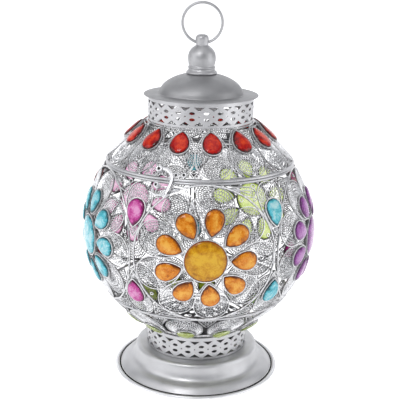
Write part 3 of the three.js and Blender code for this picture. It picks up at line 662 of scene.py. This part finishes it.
def lobe(build, place, stone, border, dice):
    """Lace between a stone's bezel and a border: rows that follow the border, tied by short bars."""
    rim = sample(stone, np.arange(0, len(stone), 0.25))
    nearest = rim[np.linalg.norm(border[:, None] - rim[None], axis=2).argmin(1)]

    def spot(where, depth):
        inner = sample(nearest, where)
        outer = sample(border, where)
        gap = np.linalg.norm(outer - inner, axis=1)
        return outer + (inner - outer) * np.minimum(depth / gap, 1.0)[:, None], gap

    def stray(places):
        return np.array([dice.uniform(-LOOSENESS, LOOSENESS) for _ in places])

    whole = np.arange(len(border))
    count = ceil(spot(whole, 0.0)[1].max() / ROW_SPACING)
    bands = [even_places(spot(whole, (band + 0.5) * ROW_SPACING)[0], BAR_SPACING, dice.random())
             for band in range(count)]
    for band, where in enumerate(bands):
        starts, gap = spot(where, band * ROW_SPACING)
        ends, _ = spot(where + stray(where), (band + 1) * ROW_SPACING + 0.1)
        kept = gap > band * ROW_SPACING + 0.8
        bars(build, place, starts[kept], ends[kept])
    for row in range(1, count):
        where = np.concatenate([bands[row - 1], bands[row]])
        swing = np.repeat([-SCALLOP, SCALLOP], [len(bands[row - 1]), len(bands[row])])
        order = np.argsort(where)
        points, gap = spot(where[order], row * ROW_SPACING + swing[order] + stray(order) / 2)
        for start, length in runs(row * ROW_SPACING < gap - 0.9):
            if length > 2:
                part = (start + np.arange(length)) % len(order)
                trace(build, place, points[part], 0.2, LACE, LACE_HEIGHT, sides=3,
                      closed=length == len(order), slot=FINE)
    trace(build, place, border, WIRE_LIFT, BORDER, 1.3)


def sample(outline, where):
    """Points of a closed outline at fractional places along its list."""
    count = len(outline)
    low = np.floor(where).astype(int)
    part = (where - low)[:, None]
    return outline[low % count] * (1 - part) + outline[(low + 1) % count] * part


def set_in_lobe(build, place, border, dice):
    """The thin wall round a stone, and the lobe round that."""
    trace(build, place, BEZEL_OUTLINE, BEZEL_HEIGHT / 2 - 0.2, BEZEL_WALL, BEZEL_HEIGHT)
    lobe(build, place, BEZEL_OUTLINE, border, dice)


def curl(build, place, radius, points=12, width=0.6, height=0.9, slot=FINE, lift=0.3):
    """A small ring of wire."""
    trace(build, place, circle(points, radius), lift, width, height, slot=slot)


def grown(outline, by):
    """An outline moved outwards by a distance."""
    along = unit(np.roll(outline, -1, 0) - np.roll(outline, 1, 0))
    return outline + np.stack([along[:, 1], -along[:, 0]], 1) * by


LOBE_POINTS = 64
SPANDREL_TIP = 17.0      # height of its lobe's tip over the equator
SPANDREL_WIDTH = 27.2
STONE_OUTLINE = drop_outline(STONE_LENGTH, STONE_WIDTH, LOBE_POINTS)
BEZEL_OUTLINE = grown(STONE_OUTLINE, BEZEL_WALL / 2 + 0.15)


def medallion_filigree(index):
    """Two rings and, between them, a lobe round each petal's stone and a small ring in each gap."""
    disc = medallion_disc(index)
    dice = random.Random(index)
    build = Build()
    trace(build, disc, circle(96, MEDALLION_RADIUS), WIRE_LIFT, 1.5, 2.0, sides=6)
    trace(build, disc, circle(96, CENTRE_STONE_RADIUS + 0.6), 1.0, 0.9, 3.0)
    half_pitch = pi / PETALS
    far = MEDALLION_RADIUS - 1.2
    near = CENTRE_STONE_RADIUS + 1.2
    half = far * sin(half_pitch) / (1 + sin(half_pitch)) - 0.35
    border = drop_outline(far - near, 2 * half, LOBE_POINTS, LOBE_POINT)
    border[:, 1] += (far + near) / 2 - PETAL_OFFSET
    for k in range(PETALS):
        bearing = FIRST_PETAL + 2 * pi * k / PETALS
        set_in_lobe(build, spoke(disc, PETAL_OFFSET, bearing), border, dice)
        curl(build, spoke(disc, MEDALLION_RADIUS - 4.6, bearing + half_pitch), 1.5, 16, lift=0.2)
    return build


def spandrel_filigree(index, side):
    """A lobe round the gap's stone, above (side 1) or below the equator, with a leaf on each hand."""
    place = globe_band(azimuth_of(node_named(f"upper_stone_{index}")))
    dice = random.Random(20 + index * side)
    build = Build()
    hoop_z = HOOP_Z if side > 0 else LOWER_HOOP_Z
    turn = 0.0 if side > 0 else pi
    edge = GLOBE_RADIUS * asin(min(abs(hoop_z - GLOBE_Z) / GLOBE_RADIUS, 1)) - WIRE
    length = edge - 0.6 - SPANDREL_TIP
    border = drop_outline(length, SPANDREL_WIDTH, LOBE_POINTS, LOBE_POINT)
    border[:, 1] += SPANDREL_TIP + length / 2 - GAP_STONE_OFFSET
    set_in_lobe(build, shifted(place, 0.0, side * GAP_STONE_OFFSET, turn), border, dice)
    leaf = drop_outline(LEAF_LENGTH, LEAF_WIDTH, 48, LOBE_POINT)
    seed = drop_outline(SEED_LENGTH, SEED_WIDTH, 48, LOBE_POINT)
    seed[:, 1] += SEED_RISE
    for hand in (-1, 1):
        lean = -LEAF_LEAN * hand
        spot = shifted(place, hand * 27.5, side * (edge - 6.6), pi - lean if side > 0 else lean)
        trace(build, spot, seed, WIRE_LIFT, 0.7, 1.0)
        lobe(build, spot, seed, leaf, dice)
        for x, below_edge, radius in ((15.2, 3.4, 2.0), (17.2, 15.5, 1.7)):
            spot = shifted(place, hand * x, side * (edge - below_edge))
            curl(build, spot, radius, 14, 0.7, 1.0, BRIGHT)
    return build


def row_filigree(meridian, count, first, stone_offset):
    """The cap or the skirt: a lobe round each stone, its tip at the gallery, and frames between."""
    dice = random.Random(count)
    build = Build()
    pitch = 2 * pi / count

    def half_pitch_at(y):
        return meridian.at(np.array([y]), meridian.points)[0, 0] * pitch / 2

    hoop_edge = 1.4
    gallery_edge = meridian.length - 1.0
    half = min(half_pitch_at(18.0) - 0.8, 17.6)
    border = drop_outline(gallery_edge - hoop_edge, 2 * half, LOBE_POINTS, 0.92)
    border[:, 1] += stone_offset - (gallery_edge + hoop_edge) / 2
    frame_half = half_pitch_at(2.0) * 0.36
    corners = np.array([(-frame_half, 2.0), (frame_half, 2.0), (0.0, 16.0)])
    triangle = sample(corners, np.arange(0, 3, 0.2))
    for k in range(count):
        azimuth = first + k * pitch
        set_in_lobe(build, shifted(meridian.surface(azimuth), 0.0, stone_offset, pi), border, dice)
        between = meridian.surface(azimuth + pitch / 2)
        trace(build, between, triangle, WIRE_LIFT, 0.9, 1.2)
        for x, y, radius in ((-2.6, 4.4, 1.5), (2.6, 4.4, 1.5), (0.0, 8.6, 1.6)):
            curl(build, shifted(between, x, y), radius)
    for y, width in ((gallery_edge, 1.4), (gallery_edge - 3.4, 0.7)):
        radius, z = meridian.at(np.array([y]), meridian.points)[0]
        level_ring(build, radius, z, 160, width, 1.2)
    return build


# ---- stones
CABOCHON_RINGS = [       # share of the outline and of the height, from the flat back to the top
    (0.45, 0.0), (0.965, 0.0), (1.0, 0.14), (1.0, 0.3), (0.985, 0.46), (0.95, 0.6),
    (0.88, 0.74), (0.77, 0.85), (0.62, 0.93), (0.44, 0.975), (0.22, 0.995),
]


def cabochon(build, place, seed, outline=STONE_OUTLINE, height=STONE_HEIGHT):
    """A domed stone on a flat back. Its rim value is 1 at the edge and 0 in the middle, and the glass
    paints shade with it.
    """
    middle = np.array([0.0, outline[:, 1].max() - outline[:, 0].max() * 1.12])
    count = len(outline)
    lean = random.Random(seed).uniform(-0.005, 0.005)
    half = outline[:, 0].max()

    def at(flat, rise):
        return place(flat[:, 0], flat[:, 1], STONE_SEAT + height * rise * (1 + lean * flat[:, 0]))[0]

    points = [at(middle[None], 0.0)]
    values = [[0.0]]
    for share, rise in CABOCHON_RINGS:
        points.append(at(middle + (outline - middle) * share, rise))
        rim = max(0.0, 1 - (1 - share) * half / (STONE_WIDTH / 2))
        values.append(np.full(count, rim ** 1.5))
    points.append(at(middle[None], 1.0))
    values.append([0.0])
    rings = len(CABOCHON_RINGS)
    faces = [tuple(1 + i for i in face) for face in strip_faces(rings, count)]
    last = 1 + (rings - 1) * count
    faces.extend((0, 1 + (i + 1) % count, 1 + i) for i in range(count))
    faces.extend((last + i, last + (i + 1) % count, 1 + rings * count) for i in range(count))
    build.add(np.concatenate(points), faces, 0, np.concatenate(values))


def petal_stones(index):
    build = Build()
    for k in range(PETALS):
        place = spoke(medallion_disc(index), PETAL_OFFSET, FIRST_PETAL + 2 * pi * k / PETALS)
        cabochon(build, place, 100 * index + k)
    return build


def centre_stone(index):
    build = Build()
    outline = circle(64, CENTRE_STONE_RADIUS)
    cabochon(build, medallion_disc(index), index, outline, CENTRE_STONE_HEIGHT)
    return build


def gap_stone(node, index, side):
    band = globe_band(azimuth_of(node))
    build = Build()
    cabochon(build, shifted(band, 0.0, side * GAP_STONE_OFFSET, 0.0 if side > 0 else pi), 50 + index * side)
    return build


def row_stones(meridian, count, first, stone_offset):
    build = Build()
    for k in range(count):
        surface = meridian.surface(first + 2 * pi * k / count)
        cabochon(build, shifted(surface, 0.0, stone_offset, pi), 900 + count * 40 + k)
    return build


# ---- pierced galleries
GALLERY_COLUMNS = 4      # flat strips that a unit is cut into before it is rolled
EDGE_WIRE = 1.0


def gallery_holes(width, height):
    """The openings of one unit: two ovals in its middle, and dots and triangles at its edges."""
    middle = (height - 1.2) / 2
    holes = [circle(14) * (2.75, 1.45) + (0, middle + rise) for rise in (-2.9, 2.9)]
    for x in (-width / 2, width / 2):
        holes.append(circle(7, 0.75) + (x, middle))
        for side in (-1, 1):
            triangle = [(-5.2, 0.0), (0.0, 0.2), (5.2, 0.0), (1.7, 2.6), (0.0, 3.7), (-1.7, 2.6)]
            holes.append(np.array(triangle) * (1, -side) + (x, middle + side * 8.7))
    return holes


def inside(points, outline):
    """Which points lie inside a closed outline."""
    x, y = points[:, 0], points[:, 1]
    found = np.zeros(len(points), bool)
    for (ax, ay), (bx, by) in zip(outline, np.roll(outline, -1, 0)):
        crosses = (ay > y) != (by > y)
        where = (bx - ax) * (y - ay) / (by - ay if by != ay else 1.0) + ax
        found ^= crosses & (x < where)
    return found


def gallery_unit(width, height):
    """Flat points and faces of one unit, and the edges that need a wall."""
    holes = gallery_holes(width, height)
    across = np.linspace(-width / 2, width / 2, GALLERY_COLUMNS + 1)
    verts = [(x, y) for x in across for y in (0.0, height)]
    edges = [(2 * i, 2 * i + 1) for i in range(GALLERY_COLUMNS + 1)]
    edges += [(i, i + 2) for i in range(2 * GALLERY_COLUMNS)]
    for hole in holes:
        start = len(verts)
        verts.extend(hole)
        edges.extend((start + i, start + (i + 1) % len(hole)) for i in range(len(hole)))
    flat, _, faces, _, _, _ = delaunay_2d_cdt([Vector(v) for v in verts], edges, [], 0, 1e-5)
    flat = np.array([tuple(v) for v in flat])
    middles = np.array([flat[list(face)].mean(0) for face in faces])
    keep = (np.abs(middles[:, 0]) < width / 2) & (middles[:, 1] > 0) & (middles[:, 1] < height)
    for hole in holes:
        keep &= ~inside(middles, hole)
    faces = [face for face, kept in zip(faces, keep) if kept]
    used = sorted({i for face in faces for i in face})
    renumber = {old: new for new, old in enumerate(used)}
    flat = flat[used]
    faces = [tuple(renumber[i] for i in face) for face in faces]
    directed = {edge for face in faces for edge in zip(face, face[1:] + face[:1])}
    seam = width / 2 - 1e-3
    seam_side = np.where(np.abs(flat[:, 0]) > seam, np.sign(flat[:, 0]), 0)
    walls = [(a, b) for a, b in directed
             if (b, a) not in directed and not (seam_side[a] and seam_side[a] == seam_side[b])]
    return flat, faces, walls


def pierced_gallery(low, high):
    """A band with a pattern of holes, made flat, cut into small faces and rolled into a ring."""
    build = Build()
    radius = high[1]
    flat, faces, walls = gallery_unit(2 * pi * radius / GALLERY_UNITS, high[2] - low[2])
    count = len(flat)
    shell = [*faces, *(tuple(count + i for i in reversed(face)) for face in faces)]
    shell += [(b, a, count + a, count + b) for a, b in walls]
    for k in range(GALLERY_UNITS):
        turn = 2 * pi * k / GALLERY_UNITS + flat[:, 0] / radius
        rings = [np.stack([r * np.sin(turn), -r * np.cos(turn), low[2] + flat[:, 1]], 1)
                 for r in (radius, radius - SHEET)]
        build.add(np.concatenate(rings), shell)
    for z in (low[2] + EDGE_WIRE / 2, high[2] - EDGE_WIRE / 2):
        level_ring(build, radius - 0.45, z, 144, EDGE_WIRE, EDGE_WIRE, sides=6)
    return build


# ---- spun and turned pieces
FINE_TURN = 160          # segments of the largest spun pieces
HOLE = 2.3               # radius of the bolt's hole in the foot and the plate
STUD_HOLE = 2.8
SHOULDER_RADIUS = 62.5
GROOVE = (SHOULDER_RADIUS + 7.0, 9.2)   # radius and height of the line between flare and wall
FLARE_EDGE = DISH_RADIUS - 1.8
SEAM_LOW, SEAM_HIGH = 1.9, 2.5          # the band of painted shade in the gap between flare and rim
DOME_RADIUS = 40.6
DOME_FLAT = 15.2         # radius of the dome's flat top
DOME_STEPS = 24
RING_WIRE = 1.25         # radius of the hanging ring's wire
PLATE_RIM = 3.0          # how far the candle plate's rim stands over the seat
PLATE_RECESS = 8.0       # radius of its dish for the bolt's head


def turned(outline, segments=FINE_TURN):
    build = Build()
    lathe(build, outline, segments)
    return build


def foot_dish():
    """A flat top with a round shoulder, a hollow wall, a groove and a flare that meets the rim."""
    flare = bezier((FLARE_EDGE, 3.0), (FLARE_EDGE - 3.1, 6.0), (GROOVE[0] + 3.6, 8.6), GROOVE, 14)
    wall = bezier(GROOVE, (SHOULDER_RADIUS + 2.2, 10.2), (SHOULDER_RADIUS + 0.8, FOOT_TOP * 0.55),
                  (SHOULDER_RADIUS, FOOT_TOP - 4.2), 14)
    shoulder = bezier(wall[-1], (SHOULDER_RADIUS - 0.4, FOOT_TOP - 1.6),
                      (SHOULDER_RADIUS - 2.0, FOOT_TOP), (SHOULDER_RADIUS - 5.0, FOOT_TOP), 12)
    top = flare + wall[1:] + shoulder[1:] + [(HOLE, FOOT_TOP)]
    under = [(max(r - 0.5, HOLE), z - SHEET * 0.9) for r, z in reversed(top)]
    build = turned(top + under)
    # A thin near-black band in the second slot: painted shade in the gap between the flare and the rim.
    near = FLARE_EDGE + 0.1
    seam = [(near, SEAM_LOW), (DISH_RADIUS, SEAM_LOW), (DISH_RADIUS, SEAM_HIGH), (near, SEAM_HIGH)]
    lathe(build, seam, FINE_TURN, slot=1)
    return build


def dome():
    """A flattened dome with a small fillet at its foot and a flat brim."""
    base = BRIM_Z + SHEET
    full = (DOME_TOP - base) / sqrt(1 - (DOME_FLAT / DOME_RADIUS) ** 2)
    turn = [acos(DOME_FLAT / DOME_RADIUS) * i / DOME_STEPS for i in range(DOME_STEPS + 1)]
    arc = [(DOME_RADIUS * cos(t), base + full * sin(t)) for t in turn if full * sin(t) > 1.5]
    fillet = bezier((DOME_RADIUS + 1.6, base), (DOME_RADIUS + 0.5, base), (DOME_RADIUS + 0.1, base + 0.4),
                    (DOME_RADIUS, base + 1.4), 6)
    brim = [(BRIM_RADIUS - 0.5, BRIM_Z), (BRIM_RADIUS, BRIM_Z + 0.3), (BRIM_RADIUS, BRIM_Z + 0.8),
            (BRIM_RADIUS - 0.4, BRIM_Z + 1.0)]
    under = [(STUD_HOLE, DOME_TOP - SHEET)] + [(r - SHEET, z - SHEET) for r, z in reversed(arc)]
    return turned(brim + fillet + arc + [(STUD_HOLE, DOME_TOP), *under, (DOME_RADIUS - SHEET, BRIM_Z)])


def finial():
    """A stud in a turned foot, collar, bead, ball and stub, each a smooth step of its own."""
    z = DOME_TOP + 0.3
    height = FINIAL_TOP - z
    steps = [
        smooth([(14.2, 0.0), (14.8, 0.9), (14.75, 1.9), (14.1, 2.7)], 4),
        smooth([(13.5, 3.0), (12.7, 4.4), (12.75, 5.2)], 4),
        smooth([(13.0, 5.6), (13.2, 6.3), (12.9, 7.0), (12.45, 7.5)], 4),
        smooth([(12.3, 8.0), (12.8, 10.2), (13.35, 13.6), (13.3, 17.0), (12.2, 20.8), (9.9, 24.0),
                (7.6, 25.9), (6.2, 26.9)], 5),
        smooth([(5.8, 27.4), (6.0, 29.5), (6.25, 32.0), (6.2, 33.8), (5.6, 35.6), (4.3, 36.7),
                (2.2, height - 0.15)], 4),
    ]
    side = [(r, z + rise) for step in steps for r, rise in step]
    return turned([(0.0, STUD_FOOT), (2.4, STUD_FOOT), (2.4, z), *side, (0.0, FINIAL_TOP)], 96)


def hanging_ring():
    joint = joint_named("ring_swing")
    low, high = low_high("hanging_ring")
    radius = (high[2] - low[2]) / 2 - RING_WIRE
    upright = np.array([0.0, 0.0, 1.0])
    axis = np.array(joint["axis"])
    middle = np.array(joint["pos_m"]) / MM + radius * upright
    points = middle + circle(96, radius) @ np.stack([axis, upright])
    face = np.tile(np.cross(axis, upright), (len(points), 1))
    build = Build()
    wire(build, points, face, 2 * RING_WIRE, 2 * RING_WIRE, sides=12, closed=True)
    return build


def candle_plate():
    """A pressed plate: a dish for the bolt's head in its middle, a flat seat and a turned-up rim."""
    low, top, radius = PLATE_FOOT, PLATE_TOP, PLATE_RADIUS
    seat_top = top - PLATE_RIM
    seat = seat_top - SHEET
    upper = [(HOLE, low + SHEET), (PLATE_RECESS - 0.6, low + SHEET)]
    upper += smooth([(PLATE_RECESS, low + SHEET + 0.2), (PLATE_RECESS + 2.4, seat_top - 0.2),
                     (PLATE_RECESS + 3.2, seat_top)], 4)
    upper += smooth([(radius - 2.6, seat_top), (radius - 1.5, seat_top + 0.5), (radius - 0.7, top)], 4)
    under = smooth([(radius, top), (radius - 0.7, seat + 1.2), (radius - 1.8, seat)], 4)
    under += smooth([(PLATE_RECESS + 3.2, seat), (PLATE_RECESS + 2.2, seat - 0.2),
                     (PLATE_RECESS + 0.2, low)], 4)
    return turned(upper + under + [(HOLE, low)], 96)


# ---- fittings
def joint_named(name):
    return next(joint for joint in frame["joints"] if joint["name"] == name)


class Fitting:
    """The frame of a latch or hinge on a joint: right, up along the surface and outwards."""

    def __init__(self, joint, outward, right):
        self.outward = np.array(outward)
        self.rows = np.stack([right, np.cross(outward, right), outward])
        self.pivot = np.array(joint_named(joint)["pos_m"]) / MM

    def at(self, x=0.0, y=0.0, z=0.0):
        """A place for points round (x, y, z) of this frame."""
        return lambda points: (np.asarray(points, float) + (x, y, z)) @ self.rows + self.pivot

    def corners(self, node):
        points = np.array([v.co for v in frame["nodes"][node].data.vertices]) / MM
        return (points - self.pivot) @ self.rows.T

    def low_high(self, node):
        corners = self.corners(node)
        return corners.min(0), corners.max(0)

    def strand(self, build, route, level, width, thick):
        """A wire along a route of (right, up) points at one level."""
        points = self.at(0, 0, level)(np.column_stack([route, np.zeros(len(route))]))
        wire(build, points, np.tile(self.outward, (len(points), 1)), width, thick, sides=8)


OUTWARD = np.array(joint_named("hook_pivot")["axis"])
RIGHT = np.array([1.0, 0.0, 0.0])
LATCH = Fitting("hook_pivot", OUTWARD, RIGHT)
HINGE = Fitting("lid_hinge", OUTWARD * (1, -1, 1), -RIGHT)
RIVET_ABOVE_SEAM = 9.2
RIVET_RADIUS = 3.2
RIVET_CURLS = ((16.0, 6.4), (23.5, 7.6))    # right of the rivet and above the seam
CATCH_RADIUS = 2.6
HOOK_TIP = (12.0, -23.7)
HOOK_WIDTH = 3.1
KNUCKLE_SPLIT = 3.0      # half the length of the lid's middle knuckle
KNUCKLE_GAP = 0.3
LEAF_ROUND = 2.4         # radius of a leaf's corners
LEAF_BEVEL = 0.25


def eyelet(build, place, radius, hole, low, high):
    """A ring that stands on its foot from low to high, with a near-black rod in its hole as painted shade.
    """
    outline = [(hole, low), (radius, low), (radius, high - 0.5)]
    outline += smooth([(radius - 0.1, high - 0.3), ((radius + hole) / 2, high), (hole, high - 0.3)], 4)
    lathe(build, outline, 40, place=place)
    # A near-black rod that fills the hole: painted shade.
    lathe(build, rod(hole - 0.05, low, high - 0.8), 24, 1, place)


def rod(radius, low, high):
    return [(0, low), (radius, low), (radius, high), (0, high)]


def latch_rivet():
    (_, _, low), (_, _, high) = LATCH.low_high("latch_rivet")
    build = Build()
    lathe(build, rod(RIVET_RADIUS, low, -0.3), 40, place=LATCH.at())
    lathe(build, rod(1.2, -0.3, high - 1.0), 24, place=LATCH.at())
    eyelet(build, LATCH.at(), RIVET_RADIUS, 1.35, high - 1.0, high)
    for x, y in RIVET_CURLS:
        eyelet(build, LATCH.at(x, y - RIVET_ABOVE_SEAM), CATCH_RADIUS, 1.25, low + 0.1, low + 1.2)
    return build


def latch_catch():
    low, high = LATCH.low_high("latch_catch")
    x, y = (low + high)[:2] / 2
    build = Build()
    foot, head = low[2], high[2] - 1.4
    outline = [(0, foot), (2.7, foot), (2.7, foot + 0.8), (1.9, foot + 1.5), (1.2, foot + 2.0),
               (1.2, head), (0, head)]
    lathe(build, outline, 36, place=LATCH.at(x, y))
    eyelet(build, LATCH.at(x, y), CATCH_RADIUS, 1.2, head, high[2] - 0.1)
    bowl = np.array(smooth([(-3.6, -3.6), (-2.6, -7.2), (2.2, -9.0), (7.6, -7.6), (9.4, -3.8)], 6))
    LATCH.strand(build, bowl + (x, y), foot + 1.0, 1.5, 1.2)
    return build


def latch_hook():
    low, high = LATCH.low_high("latch_hook")
    thick = high[2] - low[2]
    level = (low[2] + high[2]) / 2
    belly = high[0] - HOOK_WIDTH / 2 - 0.05
    across, down = HOOK_TIP
    route = smooth([(1.2, 1.2), (0.55 * belly, 0.2), (0.92 * belly, 0.19 * down), (belly, 0.46 * down),
                    (0.93 * belly, 0.74 * down), HOOK_TIP], 8)
    build = Build()
    LATCH.strand(build, route, level, HOOK_WIDTH, thick)
    eye = [(1.55, -thick / 2), (3.0, -thick / 2), (3.2, 0), (3.0, thick / 2), (1.55, thick / 2)]
    lathe(build, eye, 40, place=LATCH.at(0, 0, level))
    ball = [(0, -thick / 2), (1.9, -thick / 2), (2.5, -0.3), (2.5, 0.3), (1.9, thick / 2), (0, thick / 2)]
    lathe(build, ball, 32, place=LATCH.at(across, down, level))
    return build


def hinge_leaf(node, hand, knuckles):
    """A leaf above (hand 1) or below (hand -1) the pin: a plate, its knuckles and two rivet heads."""
    corners = HINGE.corners(node)
    half, reach, knuckle = np.abs(corners).max(0)
    near = knuckle + 2 * KNUCKLE_GAP
    low = corners[corners[:, 1] * hand > near, 2].min()
    top = low + SHEET
    build = Build()
    turn = np.linspace(0, pi / 2, 8)
    corner = (half, reach) - LEAF_ROUND * (1 - np.column_stack([np.cos(turn), np.sin(turn)]))
    outline = np.concatenate([[(half, near)], corner, (corner * (-1, 1))[::-1], [(-half, near)]])
    middle = np.array([0.0, (near + reach) / 2])
    bevelled = middle + (outline - middle) * (1 - LEAF_BEVEL / (half / 2))
    slab(build, hand, [(outline, low), (outline, top - LEAF_BEVEL), (bevelled, top)])
    for start, end in knuckles:
        def lying(points, start=start):
            x, y, z = np.transpose(points)
            return HINGE.at()(np.column_stack([z + start, x, y]))
        length = end - start
        barrel = [(1.3, 0), (knuckle - 0.3, 0), (knuckle, 0.3), (knuckle, length - 0.3),
                  (knuckle - 0.3, length), (1.3, length)]
        lathe(build, barrel, 36, place=lying)
        tongue = np.array([(start, 1.6), (end, 1.6), (end, near + 0.4), (start, near + 0.4)])
        slab(build, hand, [(tongue, low), (tongue, top - 0.05)])
    head = [(0, -0.3), (1.7, -0.3), *smooth([(1.7, 0.1), (1.3, 0.7), (0.6, 1.0)], 4), (0, 1.05)]
    for x in (-half / 2, half / 2):
        lathe(build, head, 24, place=HINGE.at(x, hand * (near + reach) / 2, top))
    return build


def slab(build, hand, layers):
    """A plate of the hinge from layers of (outline, height), mirrored for the lower leaf."""
    count = len(layers[0][0])
    grid = [np.column_stack([flat * (1, hand), np.full(count, z)]) for flat, z in layers]
    faces = strip_faces(len(layers), count)
    faces.append(tuple(range(count - 1, -1, -1)))
    faces.append(tuple((len(layers) - 1) * count + i for i in range(count)))
    build.add(HINGE.at()(np.concatenate(grid)), faces if hand > 0 else [face[::-1] for face in faces])


# ---- assembly
make_camera()
make_studio()
make_floor()

METALS = {               # dark and bright tone, and roughness
    "silver_paint": (0.30, 0.37, 0.48),
    "silver_finial": (0.40, 0.48, 0.44),
    "silver_foot": (0.52, 0.60, 0.40),
    "silver_rim": (0.72, 0.80, 0.34),
    "silver_hoop": (0.46, 0.56, 0.30),
    "silver_latch": (0.72, 0.84, 0.28),
    "silver_pierced": (0.46, 0.56, 0.34),
    "inner_steel": (0.07, 0.11, 0.5),
}
metal = {name: [metal_material(name, *tones)] for name, tones in METALS.items()}
# Near-black painted shade, for the gap between the foot's flare and rim and for the holes of the latch's
# eyelets.
seam_shadow = metal_material("painted_gap_shade", 0.01, 0.02, 0.7, metallic=0.2)
# Lace wires: painted shade down their sides and a painted highlight on their crests, over random patches.
wire_bright = wire_material("silver_wire", 0.10, 0.74, 500.0)
wire_fine = wire_material("silver_fine_wire", 0.07, 0.90, 800.0)
# Painted shade: the lace's inward faces are near black, so the inside looks shaded through the holes.
wire_inside = metal_material("inside_painted_shade", 0.07, 0.15, 0.5, cloud=500.0)
glass = {name: glass_material(f"glass_{name}", *tones) for name, tones in GLASS_COLOURS.items()}
FILIGREE = [wire_bright, wire_fine, wire_inside]
latch_metals = [*metal["silver_latch"], seam_shadow]
foot_metals = [*metal["silver_foot"], seam_shadow]
half_rim = RIM_HEIGHT / 2
foot_rim = turned(bead(FOOT_RADIUS - half_rim, half_rim, half_rim, 16))
hinge_end = HINGE.corners("hinge_leaf_body")[:, 0].max()
inner_end = KNUCKLE_SPLIT + KNUCKLE_GAP
leaf_lid = hinge_leaf("hinge_leaf_lid", 1, [(-KNUCKLE_SPLIT, KNUCKLE_SPLIT)])
leaf_body = hinge_leaf("hinge_leaf_body", -1, [(-hinge_end, -inner_end), (inner_end, hinge_end)])
for build, name, materials, body, node in (
        (foot_dish(), "foot_dish_spun", foot_metals, "body", "foot_dish"),
        (foot_rim, "foot_rim_bead", metal["silver_rim"], "body", "foot_rim_ring"),
        (dome(), "dome_spun", metal["silver_paint"], "lid", "dome"),
        (finial(), "finial_turned", metal["silver_finial"], "lid", "finial"),
        (hanging_ring(), "hanging_ring_wire", metal["silver_finial"], "ring", "hanging_ring"),
        (latch_rivet(), "latch_rivet_turned", latch_metals, "lid", "latch_rivet"),
        (latch_catch(), "latch_catch_turned", latch_metals, "body", "latch_catch"),
        (latch_hook(), "latch_hook_forged", latch_metals, "hook", "latch_hook"),
        (leaf_lid, "hinge_leaf_lid_cut", metal["silver_paint"], "lid", "hinge_leaf_lid"),
        (leaf_body, "hinge_leaf_body_cut", metal["silver_paint"], "body", "hinge_leaf_body")):
    build.piece(name, materials, body, node, "silver")
for word, body, ends in (("lower", "body", LOWER_GALLERY), ("upper", "lid", UPPER_GALLERY)):
    gallery = pierced_gallery(*ends)
    name = f"{word}_gallery"
    gallery.piece(f"{name}_pierced", metal["silver_pierced"], body, name, "filigree")
plate = candle_plate()
plate.piece("candle_plate_pressed", metal["inner_steel"], "body", "candle_plate", "plate_steel")
for node, body in (("lower_hoop", "body"), ("body_top_hoop", "body"), ("lid_hoop", "lid")):
    hoop = turned(bead(*ring_size(node), 10))
    hoop.piece(f"{node}_wire", metal["silver_hoop"], body, node, "silver")


def lace_piece(build, word, body, node):
    build.piece(f"{word}_wirework", FILIGREE, body, node, "filigree", "crest")


def stone_piece(build, name, body, node, glass_name=None):
    """Stones stand for a node whose name ends with their colour."""
    colour = node.rsplit("_", 1)[1]
    build.piece(name, [glass[glass_name or colour]], body, node, f"glass_{colour}", "rim")


cap_row = (CAP, CAP_STONES, FIRST_CAP_STONE, CAP.length - STONE_LENGTH / 2 - 5)
skirt_row = (SKIRT, SKIRT_STONES, FIRST_SKIRT_STONE, SKIRT.length - STONE_LENGTH / 2 - 3)
for word, body, row, colour in (("cap", "lid", cap_row, "red"), ("skirt", "body", skirt_row, "green")):
    lace_piece(row_filigree(*row), word, body, f"{word}_filigree")
    stone_piece(row_stones(*row), f"{word}_{colour}_cabochons", body, f"{word}_stones_{colour}")
for i in range(1, MEDALLIONS + 1):
    word = f"medallion_{i}"
    centre = node_named(f"{word}_centre")
    lace_piece(medallion_filigree(i), word, "body", f"{word}_filigree")
    stone_piece(petal_stones(i), f"{word}_petal_cabochons", "body", node_named(f"{word}_petals"))
    golden = "golden" if "orange" in centre else None
    stone_piece(centre_stone(i), f"{word}_cabochon", "body", centre, golden)
    for side, word in ((1, "upper"), (-1, "lower")):
        spandrel = f"{word}_spandrel_{i}"
        lace_piece(spandrel_filigree(i, side), spandrel, "body", spandrel)
        node = node_named(f"{word}_stone_{i}")
        stone_piece(gap_stone(node, i, side), f"{word}_stone_{i}_cabochon", "body", node)

for node in ("foot_bolt", "foot_washer", "foot_nut", "finial_nut", "hinge_pin"):
    frame["nodes"][node].data.materials.clear()
    frame["nodes"][node].data.materials.append(metal["inner_steel"][0])
